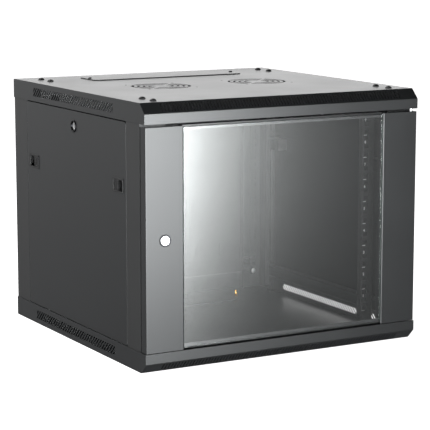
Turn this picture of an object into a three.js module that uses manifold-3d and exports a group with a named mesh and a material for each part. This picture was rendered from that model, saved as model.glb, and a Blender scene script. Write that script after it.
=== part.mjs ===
// Wall-mounted network cabinet: nine rack units, glass door, lift-off side panels.
// Millimetres, +Z up. The door faces -Y and its hinges are on the +X side.
// The origin lies on the resting plane, under the middle of the cabinet.

import * as THREE from 'three';
import { mergeVertices } from 'three/addons/utils/BufferGeometryUtils.js';
import Module from 'manifold-3d';

const wasm = await Module();
wasm.setup();

// ---- Driving dimensions ----------------------------------------------------------------------

const WIDTH = 600; // over both covers
const DEPTH = 600; // door face to back panel
const HEIGHT = 501; // over both covers
const LOCK_PROUD = 1.8; // door lock, in front of the door face
const SHEET = 1.5; // covers, panels and door
const FRAME_SHEET = 2; // columns, rails and supports
const GAP = 0.3; // play between neighbouring pieces

const COVER_HEIGHT = 38.3; // plate to the free edge of the flanges
const BEVEL = 19; // 45 degree front edge of a cover
const COVER_LIP = 15; // inward fold under the front band
const TAN_HALF_BEVEL = Math.tan(Math.PI / 8);

const DOOR_WIDTH = 597.6;
const DOOR_BOTTOM = 39.5;
const DOOR_TOP = 457;
const DOOR_DEPTH = 20;
const STILE_INNER = 220; // half the glass opening
const STILE_LIP = 12;
const GLASS_THICKNESS = 5;
const GLASS_SETBACK = 0.8;
const GLASS_BOTTOM = 43;
const GLASS_TOP = 455;
const DOOR_RAIL_HEIGHT = 9.6;
const HINGE_FROM_SIDE = 9; // hinge axis to the outer face of the covers
const HINGE_FROM_FRONT = 9.1;
const HINGE_PIN_RADIUS = 2.5;
const HINGE_PLAY = 0.5; // pin in a cover's lip
const HINGE_BLOCK = { inner: 6.5, outer: 6, setback: 0.5, height: 12.5 };
const PIN_PROUD = 3; // pin past the cover's lip

const COLUMN_FRONT_GAP = 3.6; // door back to front columns
const COLUMN_INNER = 245; // free edge of a column's front or rear flange
const COLUMN_RETURN = 14;
const PANEL_FRONT = -219.5; // side opening between the columns
const PANEL_REAR = 236.5;
const LANDING_DEPTH = 15; // step behind the side face that the panel lands on
const LANDING_WIDTH = 12.5;

const SIDE_PANEL_BOTTOM = 38.9;
const SIDE_PANEL_TOP = 460.4;

const UNIT = 44.45;
const UNITS = 9;
const HOLES_IN_UNIT = [6.35, 22.225, 38.1];
const HOLE_LINE = 232.5; // half the distance between the two columns of holes
const SQUARE_HOLE = 9.5;
const RAIL_INNER = 225;
const RAIL_OUTER = 251;
const RAIL_DEPTH = 40;
const RAIL_RETURN = 10;
const FRONT_RAIL_FACE = -222;
const REAR_RAIL_FACE = 220;
const RAIL_BOTTOM = 30;
const RAIL_TOP = HEIGHT - RAIL_BOTTOM;

const SUPPORT_HEIGHT = 57; // middle of the lower pair, from the resting plane
const SUPPORT_SIZE = 30;
const SUPPORT_INNER = RAIL_OUTER + 0.4;
const SUPPORT_OUTER = 271.4;
const SUPPORT_LIP = 8;
const SUPPORT_TAB_OUTER = 281;

const ENTRY_HALF_LENGTH = 175; // cable entry plates
const ENTRY_FRONT = 168;
const ENTRY_REAR = 250;
const ENTRY_CORNER = 14;
const ENTRY_LAND = 14; // plate overlap around the opening
const ENTRY_OPENING_CORNER = 8;
const ENTRY_RIM = 5; // drawn edge around the lower opening, which keeps cables off the sheet's edge
const ENTRY_SCREW_X = 168;
const ENTRY_SCREW_HOLE = 2.4;

const CAP_RADIUS = 6.5;
const CAP_HEIGHT = 4;
const CAP_STEM_RADIUS = 3.6;
const CAP_PLAY = 0.4;
const CAP_X = 260;
const CAP_ROWS = { front: [-256, -212], rear: [202, 248] };

const LATCH_HEIGHT = 339;
const LATCH_FROM_CENTRE = 194.5;
const LATCH_RIM = [23, 14]; // half length, half height
const LATCH_BODY = [20, 12.3];
const LATCH_WALL = 1.5;
const LATCH_PLAY = 0.5; // housing in the panel's hole
const LATCH_DEPTH = 25;
const SIDE_LOCK_HEIGHT = 430.5;
const SIDE_LOCK_PROUD = 1.7; // stays just inside the covers' outer faces

const DOOR_LOCK = { x: -259, z: 248.25 };
const DOOR_CAM_REACH = 32;
const SIDE_CAM_REACH = 40;
const CAM_WIDTH = 16;
const CAM_PLAY = 4;
const LOCK_HOLE = 10.8;
const KEY_SLOT = { half: 0.8, tall: 4 };

const EARTH_STUD = { x: 192, y: 226 };
const KEYHOLE = { x: 200, low: 90, high: 400, head: 8, shank: 4.5, rise: 16 };

const SIDES = [[-1, 'left'], [1, 'right']];

// ---- Derived planes --------------------------------------------------------------------------

const FRONT = -(DEPTH - LOCK_PROUD) / 2;
const REAR = FRONT + DEPTH;
const SIDE_FACE = WIDTH / 2 - SHEET - GAP; // columns and side panels, inside the cover flanges
const DOOR_BACK = FRONT + DOOR_DEPTH;
const COLUMN_FRONT = DOOR_BACK + COLUMN_FRONT_GAP;
const COLUMN_REAR = REAR - SHEET - GAP;
const COLUMN_BOTTOM = SHEET + GAP;
const LANDING_FACE = SIDE_FACE - LANDING_DEPTH;
const PANEL_MIDDLE = (PANEL_FRONT + PANEL_REAR) / 2;
const UNIT_ZERO = (HEIGHT - UNITS * UNIT) / 2;
const HINGE = { x: WIDTH / 2 - HINGE_FROM_SIDE, y: FRONT + HINGE_FROM_FRONT };

// ---- Finishes --------------------------------------------------------------------------------

const finish = (color, roughness, metalness, extra = {}) => () =>
  new THREE.MeshStandardMaterial({ color, roughness, metalness, ...extra });

const FINISH = {
  powderCoat: finish(0x35373a, 0.45, 0.3),
  frameCoat: finish(0x2b2d30, 0.5, 0.3),
  glass: finish(0xb9c6c4, 0.05, 0, { transparent: true, opacity: 0.35 }),
  chrome: finish(0xdfe2e4, 0.12, 1),
  lockBody: finish(0x17181a, 0.4, 0.5),
  zinc: finish(0xb4b8bb, 0.35, 0.9),
  plastic: finish(0x141517, 0.55, 0),
  brass: finish(0xc9a24a, 0.3, 1),
};

// ---- Solids ----------------------------------------------------------------------------------

/** Closed solid from any closed geometry. */
function solid(geometry) {
  const bare = geometry.index ? geometry.toNonIndexed() : geometry.clone();
  bare.deleteAttribute('normal');
  bare.deleteAttribute('uv');
  const merged = mergeVertices(bare, 1e-4);
  return new wasm.Manifold(
    new wasm.Mesh({
      numProp: 3,
      vertProperties: new Float32Array(merged.attributes.position.array),
      triVerts: new Uint32Array(merged.index.array),
    }),
  );
}

/** Geometry with flat normals from a solid. */
function surface(body) {
  const mesh = body.getMesh();
  const indexed = new THREE.BufferGeometry();
  indexed.setAttribute('position', new THREE.BufferAttribute(mesh.vertProperties, 3));
  indexed.setIndex(new THREE.BufferAttribute(mesh.triVerts, 1));
  const flat = indexed.toNonIndexed();
  flat.computeVertexNormals();
  return flat;
}

/** The stretch that reaches `half` to each side of `middle`. */
const around = (middle, half) => [middle - half, middle + half];

/** Box between two opposite corners, given as [low, high] along each axis. */
function block([x0, x1], [y0, y1], [z0, z1]) {
  const geometry = new THREE.BoxGeometry(Math.abs(x1 - x0), Math.abs(y1 - y0), Math.abs(z1 - z0));
  return solid(geometry.translate((x0 + x1) / 2, (y0 + y1) / 2, (z0 + z1) / 2));
}

/** Straight bar with an outline of [x, y] points, from z0 to z1. */
function alongZ(outline, z0, z1) {
  const geometry = new THREE.ExtrudeGeometry(toShape(outline), { depth: z1 - z0, bevelEnabled: false });
  return solid(geometry.translate(0, 0, z0));
}

/** Straight bar with an outline of [y, z] points, from x0 to x1. */
function alongX(outline, x0, x1) {
  const geometry = new THREE.ExtrudeGeometry(toShape(outline), { depth: x1 - x0, bevelEnabled: false });
  const cycle = new THREE.Matrix4().set(0, 0, 1, x0, 1, 0, 0, 0, 0, 1, 0, 0, 0, 0, 0, 1);
  return solid(geometry.applyMatrix4(cycle));
}

/** Straight bar with an outline of [x, z] points, from y0 to y1. */
function alongY(outline, y0, y1) {
  const geometry = new THREE.ExtrudeGeometry(toShape(outline), { depth: y1 - y0, bevelEnabled: false });
  return solid(geometry.rotateX(Math.PI / 2).translate(0, y1, 0));
}

/** Shape from a list of points, or the shape itself. */
function toShape(outline) {
  if (outline instanceof THREE.Shape) return outline;
  return new THREE.Shape(outline.map(([a, b]) => new THREE.Vector2(a, b)));
}

/**
 * Turned solid from [radius, depth] points. Depth runs along `inward`, a unit axis, from `mouth`.
 */
function turned(profile, mouth, inward, segments = 24) {
  const points = profile.map(([radius, depth]) => new THREE.Vector2(radius, depth));
  const geometry = new THREE.LatheGeometry(points, segments);
  geometry.applyQuaternion(new THREE.Quaternion().setFromUnitVectors(new THREE.Vector3(0, 1, 0), inward));
  const body = solid(geometry.translate(mouth.x, mouth.y, mouth.z));
  return body.volume() > 0 ? body : solid(flipped(geometry));
}

/** The same triangles wound the other way. */
function flipped(geometry) {
  const flat = geometry.toNonIndexed();
  const position = flat.attributes.position;
  for (let first = 0; first < position.count; first += 3) {
    const b = new THREE.Vector3().fromBufferAttribute(position, first + 1);
    const c = new THREE.Vector3().fromBufferAttribute(position, first + 2);
    position.setXYZ(first + 1, c.x, c.y, c.z);
    position.setXYZ(first + 2, b.x, b.y, b.z);
  }
  return flat;
}

/** Outline of a folded sheet: the path itself and the same path offset to its left. */
function folded(path, thickness) {
  const offset = path.map((point, index) => {
    const here = new THREE.Vector2(...point);
    const before = index > 0 ? unitLeft(path[index - 1], point) : null;
    const after = index < path.length - 1 ? unitLeft(point, path[index + 1]) : null;
    if (!before || !after) return here.addScaledVector(before ?? after, thickness).toArray();
    const middle = before.clone().add(after).normalize();
    return here.addScaledVector(middle, thickness / middle.dot(after)).toArray();
  });
  return [...path, ...offset.reverse()];
}

/** Unit normal to the left of the step from a to b. */
function unitLeft([ax, ay], [bx, by]) {
  return new THREE.Vector2(ay - by, bx - ax).normalize();
}

/** The outline with its first coordinate multiplied by the side, -1 or 1. */
function sided(outline, side) {
  return outline.map(([a, b]) => [side * a, b]);
}

/** Rectangle with round corners, as a shape. */
function roundedRectangle([a0, a1], [b0, b1], radius) {
  const shape = new THREE.Shape();
  shape.moveTo(a0 + radius, b0);
  shape.absarc(a1 - radius, b0 + radius, radius, -Math.PI / 2, 0, false);
  shape.absarc(a1 - radius, b1 - radius, radius, 0, Math.PI / 2, false);
  shape.absarc(a0 + radius, b1 - radius, radius, Math.PI / 2, Math.PI, false);
  shape.absarc(a0 + radius, b0 + radius, radius, Math.PI, Math.PI * 1.5, false);
  return new THREE.Shape(shape.getPoints(4));
}

const cabinet = new THREE.Group();

/** Adds a named piece with its own material to the cabinet. */
function add(name, body, makeMaterial) {
  const mesh = new THREE.Mesh(surface(body), makeMaterial());
  mesh.name = name;
  cabinet.add(mesh);
}

// ---- Covers ----------------------------------------------------------------------------------

/** Folded pan with a bevelled front. `level` turns a distance from its plate into a height. */
function coverPan(level) {
  const profile = [
    [FRONT, COVER_HEIGHT], [FRONT, BEVEL], [FRONT + BEVEL, 0], [REAR, 0], [REAR, COVER_HEIGHT],
  ];
  const hollow = [
    [FRONT + COVER_LIP, COVER_HEIGHT + 1], [FRONT + COVER_LIP, COVER_HEIGHT - SHEET],
    [FRONT + SHEET, COVER_HEIGHT - SHEET], [FRONT + SHEET, BEVEL + SHEET * TAN_HALF_BEVEL],
    [FRONT + BEVEL + SHEET * TAN_HALF_BEVEL, SHEET], [REAR - SHEET, SHEET], [REAR - SHEET, COVER_HEIGHT + 1],
  ];
  const levelled = (outline) => outline.map(([y, drop]) => [y, level(drop)]);
  const halfWidth = WIDTH / 2;
  return alongX(levelled(profile), -halfWidth, halfWidth)
    .subtract(alongX(levelled(hollow), SHEET - halfWidth, halfWidth - SHEET));
}

/** Vertical cutter for a round hole. */
function drill(x, y, z0, z1, radius, segments = 20) {
  const depth = z1 - z0;
  return turned([[0, 0], [radius, 0], [radius, depth], [0, depth]], new THREE.Vector3(x, y, z0),
    new THREE.Vector3(0, 0, 1), segments);
}

/** The outline of a cable opening, widened by `margin`, as a bar from z0 to z1. */
function entryOpening(z0, z1, margin = 0) {
  const halfLength = ENTRY_HALF_LENGTH - ENTRY_LAND + margin;
  const deep = [ENTRY_FRONT + ENTRY_LAND - margin, ENTRY_REAR - ENTRY_LAND + margin];
  return alongZ(roundedRectangle(around(0, halfLength), deep, ENTRY_OPENING_CORNER + margin), z0, z1);
}

/** Top and bottom cover, each with its hinge hole and cable opening. */
function addCovers() {
  const lipTop = HEIGHT - COVER_HEIGHT;
  const pinHole = HINGE_PIN_RADIUS + HINGE_PLAY;
  let top = coverPan((drop) => HEIGHT - drop)
    .subtract(drill(HINGE.x, HINGE.y, lipTop - 1, lipTop + SHEET + 1, pinHole))
    .subtract(entryOpening(HEIGHT - SHEET - 1, HEIGHT + 1));
  for (const [x, y] of capPlaces().map((place) => place.at)) {
    top = top.subtract(drill(x, y, HEIGHT - SHEET - 1, HEIGHT + 1, CAP_STEM_RADIUS + CAP_PLAY, 16));
  }
  for (const side of [-1, 1]) {
    const x = side * ENTRY_SCREW_X;
    top = top.subtract(drill(x, entryMiddle(), HEIGHT - SHEET - 1, HEIGHT + 1, ENTRY_SCREW_HOLE, 12));
  }
  add('top_cover', top, FINISH.powderCoat);

  const rimTop = SHEET + ENTRY_RIM;
  const bottom = coverPan((drop) => drop)
    .add(entryOpening(SHEET / 2, rimTop, SHEET))
    .subtract(drill(HINGE.x, HINGE.y, COVER_HEIGHT - SHEET - 1, COVER_HEIGHT + 1, pinHole))
    .subtract(entryOpening(-1, rimTop + 1));
  add('bottom_cover', bottom, FINISH.powderCoat);
}

/** Place and name of each domed cap on the top cover. */
function capPlaces() {
  const places = [];
  for (const [end, rows] of Object.entries(CAP_ROWS)) {
    for (const [side, word] of SIDES) {
      rows.forEach((y, index) => {
        places.push({ name: `bolt_cap_${end}_${word}_${index + 1}`, at: [side * CAP_X, y] });
      });
    }
  }
  return places;
}

/** Domed plastic cap with a stem that plugs the hole over an assembly bolt. */
function addCaps() {
  const rings = 4;
  const seat = -GAP;
  const dome = Array.from({ length: rings + 1 }, (_, index) => {
    const angle = (index / rings) * (Math.PI / 2);
    return [CAP_RADIUS * Math.cos(angle), seat - CAP_HEIGHT * Math.sin(angle)];
  });
  dome[rings][0] = 0;
  const stemEnd = SHEET + 2;
  const profile = [[0, stemEnd], [CAP_STEM_RADIUS, stemEnd], [CAP_STEM_RADIUS, seat], ...dome];
  for (const { name, at: [x, y] } of capPlaces()) {
    const body = turned(profile, new THREE.Vector3(x, y, HEIGHT), new THREE.Vector3(0, 0, -1), 16);
    add(name, body, FINISH.plastic);
  }
}

/** Middle of an entry plate, front to back. */
const entryMiddle = () => (ENTRY_FRONT + ENTRY_REAR) / 2;

/** Plates over the two cable openings: screws hold the upper one, and the lower one lies on the rim. */
function addEntryPlates() {
  const outline = roundedRectangle(around(0, ENTRY_HALF_LENGTH), [ENTRY_FRONT, ENTRY_REAR], ENTRY_CORNER);
  let upper = alongZ(outline, HEIGHT + GAP, HEIGHT + GAP + SHEET);
  const down = new THREE.Vector3(0, 0, -1);
  for (const [side, word] of SIDES) {
    const x = side * ENTRY_SCREW_X;
    upper = upper.subtract(drill(x, entryMiddle(), HEIGHT, HEIGHT + 3, ENTRY_SCREW_HOLE, 12));
    const seat = new THREE.Vector3(x, entryMiddle(), HEIGHT + 2 * GAP + SHEET);
    const profile = [[0, -2], [2.6, -2], [4, -0.8], [4, 0], [2, 0], [2, 6], [0, 6]];
    add(`entry_plate_screw_${word}`, turned(profile, seat, down, 16), FINISH.plastic);
  }
  add('top_entry_plate', upper, FINISH.powderCoat);
  const rest = SHEET + ENTRY_RIM + GAP;
  add('bottom_entry_plate', alongZ(outline, rest, rest + SHEET), FINISH.powderCoat);
}

// ---- Frame -----------------------------------------------------------------------------------

/** Folded corner columns with a landing for the side panels. */
function addColumns() {
  const frontPath = [
    [COLUMN_INNER, COLUMN_FRONT + COLUMN_RETURN], [COLUMN_INNER, COLUMN_FRONT], [SIDE_FACE, COLUMN_FRONT],
    [SIDE_FACE, PANEL_FRONT], [LANDING_FACE, PANEL_FRONT], [LANDING_FACE, PANEL_FRONT + LANDING_WIDTH],
  ];
  const rearPath = [
    [COLUMN_INNER, COLUMN_REAR - COLUMN_RETURN], [COLUMN_INNER, COLUMN_REAR], [SIDE_FACE, COLUMN_REAR],
    [SIDE_FACE, PANEL_REAR], [LANDING_FACE, PANEL_REAR], [LANDING_FACE, PANEL_REAR - LANDING_WIDTH],
  ];
  const frontOutline = folded(frontPath, FRAME_SHEET);
  const rearOutline = folded(rearPath, -FRAME_SHEET);
  for (const [side, word] of SIDES) {
    let front = alongZ(sided(frontOutline, side), COLUMN_BOTTOM, HEIGHT - COLUMN_BOTTOM);
    if (side < 0) front = front.subtract(camPassage());
    const rear = alongZ(sided(rearOutline, side), COLUMN_BOTTOM, HEIGHT - COLUMN_BOTTOM);
    add(`front_${word}_column`, front, FINISH.frameCoat);
    add(`rear_${word}_column`, rear, FINISH.frameCoat);
  }
}

/** Opening in the left front column that the door's cam swings in and out of. */
function camPassage() {
  const half = CAM_WIDTH / 2;
  const tall = [DOOR_LOCK.z - DOOR_CAM_REACH - CAM_PLAY, DOOR_LOCK.z + half + CAM_PLAY];
  const deep = [COLUMN_FRONT - 1, COLUMN_FRONT + FRAME_SHEET + 1];
  return block(around(DOOR_LOCK.x, half + CAM_PLAY / 2), deep, tall);
}

/** Keyhole outline in [x, z]: a round head opening with a narrower slot above it. */
function keyhole(x, z) {
  const { head, shank, rise } = KEYHOLE;
  const turn = Math.asin(shank / head);
  const shape = new THREE.Shape();
  shape.moveTo(x + shank, z + head * Math.cos(turn));
  shape.absarc(x, z + rise, shank, 0, Math.PI, false);
  shape.absarc(x, z, head, Math.PI / 2 + turn, Math.PI * 2.5 - turn, false);
  return new THREE.Shape(shape.getPoints(12));
}

/** Back sheet with four keyholes for wall screws. */
function addRearPanel() {
  const tall = [COVER_HEIGHT + GAP, HEIGHT - COVER_HEIGHT - GAP];
  let panel = block(around(0, SIDE_FACE), [REAR - SHEET, REAR], tall);
  for (const side of [-1, 1]) {
    for (const z of [KEYHOLE.low, KEYHOLE.high]) {
      panel = panel.subtract(alongY(keyhole(side * KEYHOLE.x, z), REAR - SHEET - 1, REAR + 1));
    }
  }
  add('rear_panel', panel, FINISH.powderCoat);
}

/** Lipped channels that carry the mounting rails, with a bolting tab at each end. */
function addRailSupports() {
  const half = SUPPORT_SIZE / 2;
  const front = COLUMN_FRONT + FRAME_SHEET + GAP;
  const rear = COLUMN_REAR - FRAME_SHEET - GAP;
  const path = [
    [SUPPORT_INNER, SUPPORT_LIP - half], [SUPPORT_INNER, -half], [SUPPORT_OUTER, -half],
    [SUPPORT_OUTER, half], [SUPPORT_INNER, half], [SUPPORT_INNER, half - SUPPORT_LIP],
  ];
  for (const [height, level] of [[SUPPORT_HEIGHT, 'lower'], [HEIGHT - SUPPORT_HEIGHT, 'upper']]) {
    const outline = folded(path, FRAME_SHEET).map(([x, z]) => [x, z + height]);
    for (const [side, word] of SIDES) {
      const across = [side * SUPPORT_INNER, side * SUPPORT_TAB_OUTER];
      const tall = [height - half, height + half];
      const body = alongY(sided(outline, side), front, rear)
        .add(block(across, [front, front + FRAME_SHEET], tall))
        .add(block(across, [rear - FRAME_SHEET, rear], tall));
      add(`${level}_${word}_rail_support`, body, FINISH.frameCoat);
    }
  }
}

/** Heights of the square holes of one rail. */
function railHoleHeights() {
  const heights = [];
  for (let unit = 0; unit < UNITS; unit += 1) {
    for (const offset of HOLES_IN_UNIT) heights.push(UNIT_ZERO + unit * UNIT + offset);
  }
  return heights;
}

/** Four rails with three square holes in every unit. */
function addMountingRails() {
  for (const [face, inward, end] of [[FRONT_RAIL_FACE, 1, 'front'], [REAR_RAIL_FACE, -1, 'rear']]) {
    const path = [
      [RAIL_INNER, face], [RAIL_OUTER, face], [RAIL_OUTER, face + inward * RAIL_DEPTH],
      [RAIL_OUTER - RAIL_RETURN, face + inward * RAIL_DEPTH],
    ];
    const outline = folded(path, inward * FRAME_SHEET);
    for (const [side, word] of SIDES) {
      let rail = alongZ(sided(outline, side), RAIL_BOTTOM, RAIL_TOP);
      const half = SQUARE_HOLE / 2;
      const across = [side * HOLE_LINE - half, side * HOLE_LINE + half];
      for (const z of railHoleHeights()) {
        rail = rail.subtract(block(across, [face - 4, face + 4], [z - half, z + half]));
      }
      add(`${end}_${word}_mounting_rail`, rail, FINISH.frameCoat);
    }
  }
}

/** Brass earthing stud on the floor. */
function addEarthStud() {
  const profile = [[0, -14], [3, -14], [3, -5], [5.5, -5], [5.5, 0], [0, 0]];
  const seat = new THREE.Vector3(EARTH_STUD.x, EARTH_STUD.y, SHEET + GAP);
  add('earth_stud', turned(profile, seat, new THREE.Vector3(0, 0, -1), 12), FINISH.brass);
}

// ---- Door ------------------------------------------------------------------------------------

/** Middle of the door lock's outer face. */
const lockMouth = () => new THREE.Vector3(DOOR_LOCK.x, FRONT - LOCK_PROUD, DOOR_LOCK.z);

/** Cutter for the round hole that a lock's barrel passes through. */
function lockCutter(mouth, inward) {
  return turned([[0, -3], [LOCK_HOLE, -3], [LOCK_HOLE, 8], [0, 8]], mouth, inward);
}

/** Folded uprights at both sides of the glass. */
function addStiles() {
  const outer = DOOR_WIDTH / 2;
  const path = [
    [outer - STILE_LIP, DOOR_BACK], [outer, DOOR_BACK], [outer, FRONT], [STILE_INNER, FRONT],
    [STILE_INNER, DOOR_BACK], [STILE_INNER + STILE_LIP, DOOR_BACK],
  ];
  const outline = folded(path, -SHEET);
  const left = alongZ(sided(outline, -1), DOOR_BOTTOM, DOOR_TOP);
  const lockHole = lockCutter(lockMouth(), new THREE.Vector3(0, 1, 0));
  add('door_left_stile', left.subtract(lockHole), FINISH.powderCoat);
  add('door_right_stile', alongZ(outline, DOOR_BOTTOM, DOOR_TOP), FINISH.powderCoat);
}

/** Angle strips behind the glass, joining the stiles at the top and the bottom. */
function addDoorRails() {
  const reach = STILE_INNER - GAP;
  const glassBack = FRONT + GLASS_SETBACK + GLASS_THICKNESS;
  const front = glassBack + GAP;
  const bottom = DOOR_BOTTOM + 1;
  const top = DOOR_TOP + 1.5;
  for (const [edge, turn, level] of [[bottom, 1, 'bottom'], [top, -1, 'top']]) {
    const path = [[front, edge + turn * DOOR_RAIL_HEIGHT], [front, edge], [DOOR_BACK, edge]];
    add(`door_${level}_rail`, alongX(folded(path, turn * SHEET), -reach, reach), FINISH.powderCoat);
  }
  const pane = block([-reach, reach], [glassBack - GLASS_THICKNESS, glassBack], [GLASS_BOTTOM, GLASS_TOP]);
  add('door_glass', pane, FINISH.glass);
}

/** Steel blocks in the ends of the hinge stile, each with a pin that turns in a cover's lip. */
function addHinges() {
  const across = [HINGE.x - HINGE_BLOCK.inner, HINGE.x + HINGE_BLOCK.outer];
  const deep = [FRONT + SHEET + GAP, DOOR_BACK - SHEET - GAP];
  const ends = [['upper', DOOR_TOP, -1, HEIGHT - COVER_HEIGHT], ['lower', DOOR_BOTTOM, 1, COVER_HEIGHT]];
  for (const [level, end, inward, lip] of ends) {
    const near = end + inward * HINGE_BLOCK.setback;
    const low = Math.min(near, near + inward * HINGE_BLOCK.height);
    const bore = drill(HINGE.x, HINGE.y, low - 1, low + HINGE_BLOCK.height + 1, HINGE_PIN_RADIUS + GAP);
    const body = block(across, deep, [low, low + HINGE_BLOCK.height]).subtract(bore);
    add(`${level}_hinge_block`, body, FINISH.zinc);
    const pinEnds = [end + inward * HINGE_BLOCK.height, lip - inward * PIN_PROUD].sort((a, b) => a - b);
    add(`${level}_hinge_pin`, drill(HINGE.x, HINGE.y, ...pinEnds, HINGE_PIN_RADIUS, 16), FINISH.zinc);
  }
}

/** Flat cam arm from the lock's axis: [across, along] outline with round ends. */
function camOutline(reach) {
  const half = CAM_WIDTH / 2;
  const shape = new THREE.Shape();
  shape.absarc(0, 0, half, Math.PI / 2, Math.PI * 1.5, false);
  shape.absarc(reach - half, 0, half, -Math.PI / 2, Math.PI / 2, false);
  return shape.getPoints(6).map(({ x, y }) => [x, y]);
}

/** Barrel, turning plug, nut and cam of the door lock. */
function addDoorLock() {
  const inward = new THREE.Vector3(0, 1, 0);
  const mouth = lockMouth();
  const barrel = [
    [11.6, 0.6], [11.6, 1.5], [10.4, 1.5], [10.4, 25], [6.4, 25], [6.4, 4], [9.5, 4], [9.5, 0.6], [11.6, 0.6],
  ];
  add('door_lock_barrel', turned(barrel, mouth, inward, 32), FINISH.lockBody);
  const plug = turned([[0, 0], [9.2, 0], [9.2, 3.7], [6.1, 3.7], [6.1, 27.6], [0, 27.6]], mouth, inward, 32);
  const slotDepth = [mouth.y - 1, mouth.y + 3];
  const keySlot = block(around(mouth.x, KEY_SLOT.half), slotDepth, around(mouth.z, KEY_SLOT.tall));
  add('door_lock_plug', plug.subtract(keySlot), FINISH.chrome);
  const nut = [[10.8, 3.7], [13.5, 3.7], [13.5, 8.7], [10.8, 8.7], [10.8, 3.7]];
  add('door_lock_nut', turned(nut, mouth, inward, 12), FINISH.zinc);
  const arm = camOutline(DOOR_CAM_REACH).map(([along, across]) => [mouth.x + across, mouth.z - along]);
  add('door_lock_cam', alongY(arm, mouth.y + 27.9, mouth.y + 29.9), FINISH.zinc);
}

// ---- Side panels -----------------------------------------------------------------------------

/** Lift-off panel: a shallow tray with holes for two latches and a lock. */
function sidePanel(side) {
  const long = [PANEL_FRONT + GAP, PANEL_REAR - GAP];
  const tall = [SIDE_PANEL_BOTTOM, SIDE_PANEL_TOP];
  const inner = LANDING_FACE + GAP;
  const shrink = ([low, high]) => [low + SHEET, high - SHEET];
  let panel = block([side * inner, side * SIDE_FACE], long, tall)
    .subtract(block([side * (inner - 1), side * (SIDE_FACE - SHEET)], shrink(long), shrink(tall)));
  const through = [side * (SIDE_FACE - SHEET - 1), side * (SIDE_FACE + 1)];
  for (const end of [-1, 1]) {
    const middle = PANEL_MIDDLE + end * LATCH_FROM_CENTRE;
    const [halfLong, halfTall] = LATCH_BODY.map((half) => half + LATCH_PLAY);
    panel = panel.subtract(block(through, around(middle, halfLong), around(LATCH_HEIGHT, halfTall)));
  }
  return panel.subtract(lockCutter(sideLockMouth(side), new THREE.Vector3(-side, 0, 0)));
}

/** Middle of a side lock's outer face. */
function sideLockMouth(side) {
  return new THREE.Vector3(side * (SIDE_FACE + SIDE_LOCK_PROUD), PANEL_MIDDLE, SIDE_LOCK_HEIGHT);
}

/** Box in a latch's own directions: outwards from the cabinet, towards the column, and up. */
function latchBlock(side, end, outwards, towardsColumn, up) {
  const middle = PANEL_MIDDLE + end * LATCH_FROM_CENTRE;
  return block(outwards.map((x) => side * x), towardsColumn.map((v) => middle + end * v),
    up.map((w) => LATCH_HEIGHT + w));
}

/** Recessed cup with a raised rim; its outer half is the finger pocket. */
function latchHousing(side, end) {
  const [rimLong, rimTall] = LATCH_RIM;
  const [long, tall] = LATCH_BODY;
  const rimFace = SIDE_FACE + GAP + 1.2;
  const floor = rimFace - LATCH_DEPTH;
  const cut = (outwards, towards, up) => latchBlock(side, end, outwards, towards, up);
  return cut([SIDE_FACE + GAP, rimFace], [-rimLong, rimLong], [-rimTall, rimTall])
    .add(cut([floor, rimFace], [-long, long], [-tall, tall]))
    .subtract(cut([floor + LATCH_WALL, rimFace + 1], [LATCH_WALL - long, long - LATCH_WALL],
      [LATCH_WALL - tall, tall - LATCH_WALL]))
    .subtract(cut([floor + 2.2, floor + 6.4], [long - LATCH_WALL - 1, long + 1], [-8.4, 8.4]));
}

/** Finger slide with the tongue that reaches behind the column's landing when it is pushed out. */
function latchSlide(side, end) {
  const [long, tall] = LATCH_BODY;
  const floor = SIDE_FACE + GAP + 1.2 - LATCH_DEPTH;
  const face = SIDE_FACE + 0.2;
  const back = LATCH_WALL + GAP - long;
  const cut = (outwards, towards, up) => latchBlock(side, end, outwards, towards, up);
  return cut([face - 6, face], [back, back + 17.5], [LATCH_WALL + GAP - tall, tall - LATCH_WALL - GAP])
    .add(cut([floor + 5, face - 5], [back + 1, back + 15], [-6, 6]))
    .add(cut([floor + 2.8, floor + 5.8], [back + 1, long - GAP], [-8, 8]));
}

/** Barrel, turning plug and cam of one side panel's lock. */
function addSideLock(side, word) {
  const inward = new THREE.Vector3(-side, 0, 0);
  const mouth = sideLockMouth(side);
  const barrel = [
    [12.2, 0], [12.2, 1.4], [10.4, 1.4], [10.4, 20], [6.4, 20], [6.4, 5], [9.1, 5], [9.1, 0], [12.2, 0],
  ];
  add(`${word}_side_lock_barrel`, turned(barrel, mouth, inward, 32), FINISH.lockBody);
  const plug = turned([[0, 2.5], [8.8, 2.5], [8.8, 4.7], [6.1, 4.7], [6.1, 22], [0, 22]], mouth, inward, 32);
  const slotDepth = [mouth.x + side, mouth.x - side * 5];
  const keySlot = block(slotDepth, around(mouth.y, KEY_SLOT.half), around(mouth.z, KEY_SLOT.tall));
  add(`${word}_side_lock_plug`, plug.subtract(keySlot), FINISH.chrome);
  const arm = camOutline(SIDE_CAM_REACH).map(([along, across]) => [mouth.y + along, mouth.z + across]);
  const [camNear, camFar] = [mouth.x - side * 22.3, mouth.x - side * 24.3].sort((a, b) => a - b);
  add(`${word}_side_lock_cam`, alongX(arm, camNear, camFar), FINISH.zinc);
}

/** Both side panels with their locks and latches. */
function addSidePanels() {
  for (const [side, word] of SIDES) {
    add(`${word}_side_panel`, sidePanel(side), FINISH.powderCoat);
    addSideLock(side, word);
    for (const [end, place] of [[-1, 'front'], [1, 'rear']]) {
      add(`${word}_${place}_latch_housing`, latchHousing(side, end), FINISH.plastic);
      add(`${word}_${place}_latch_slide`, latchSlide(side, end), FINISH.plastic);
    }
  }
}

// ---- Assembly --------------------------------------------------------------------------------

addCovers();
addCaps();
addEntryPlates();
addColumns();
addRearPanel();
addRailSupports();
addMountingRails();
addEarthStud();
addStiles();
addDoorRails();
addHinges();
addDoorLock();
addSidePanels();

export default cabinet;
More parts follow.
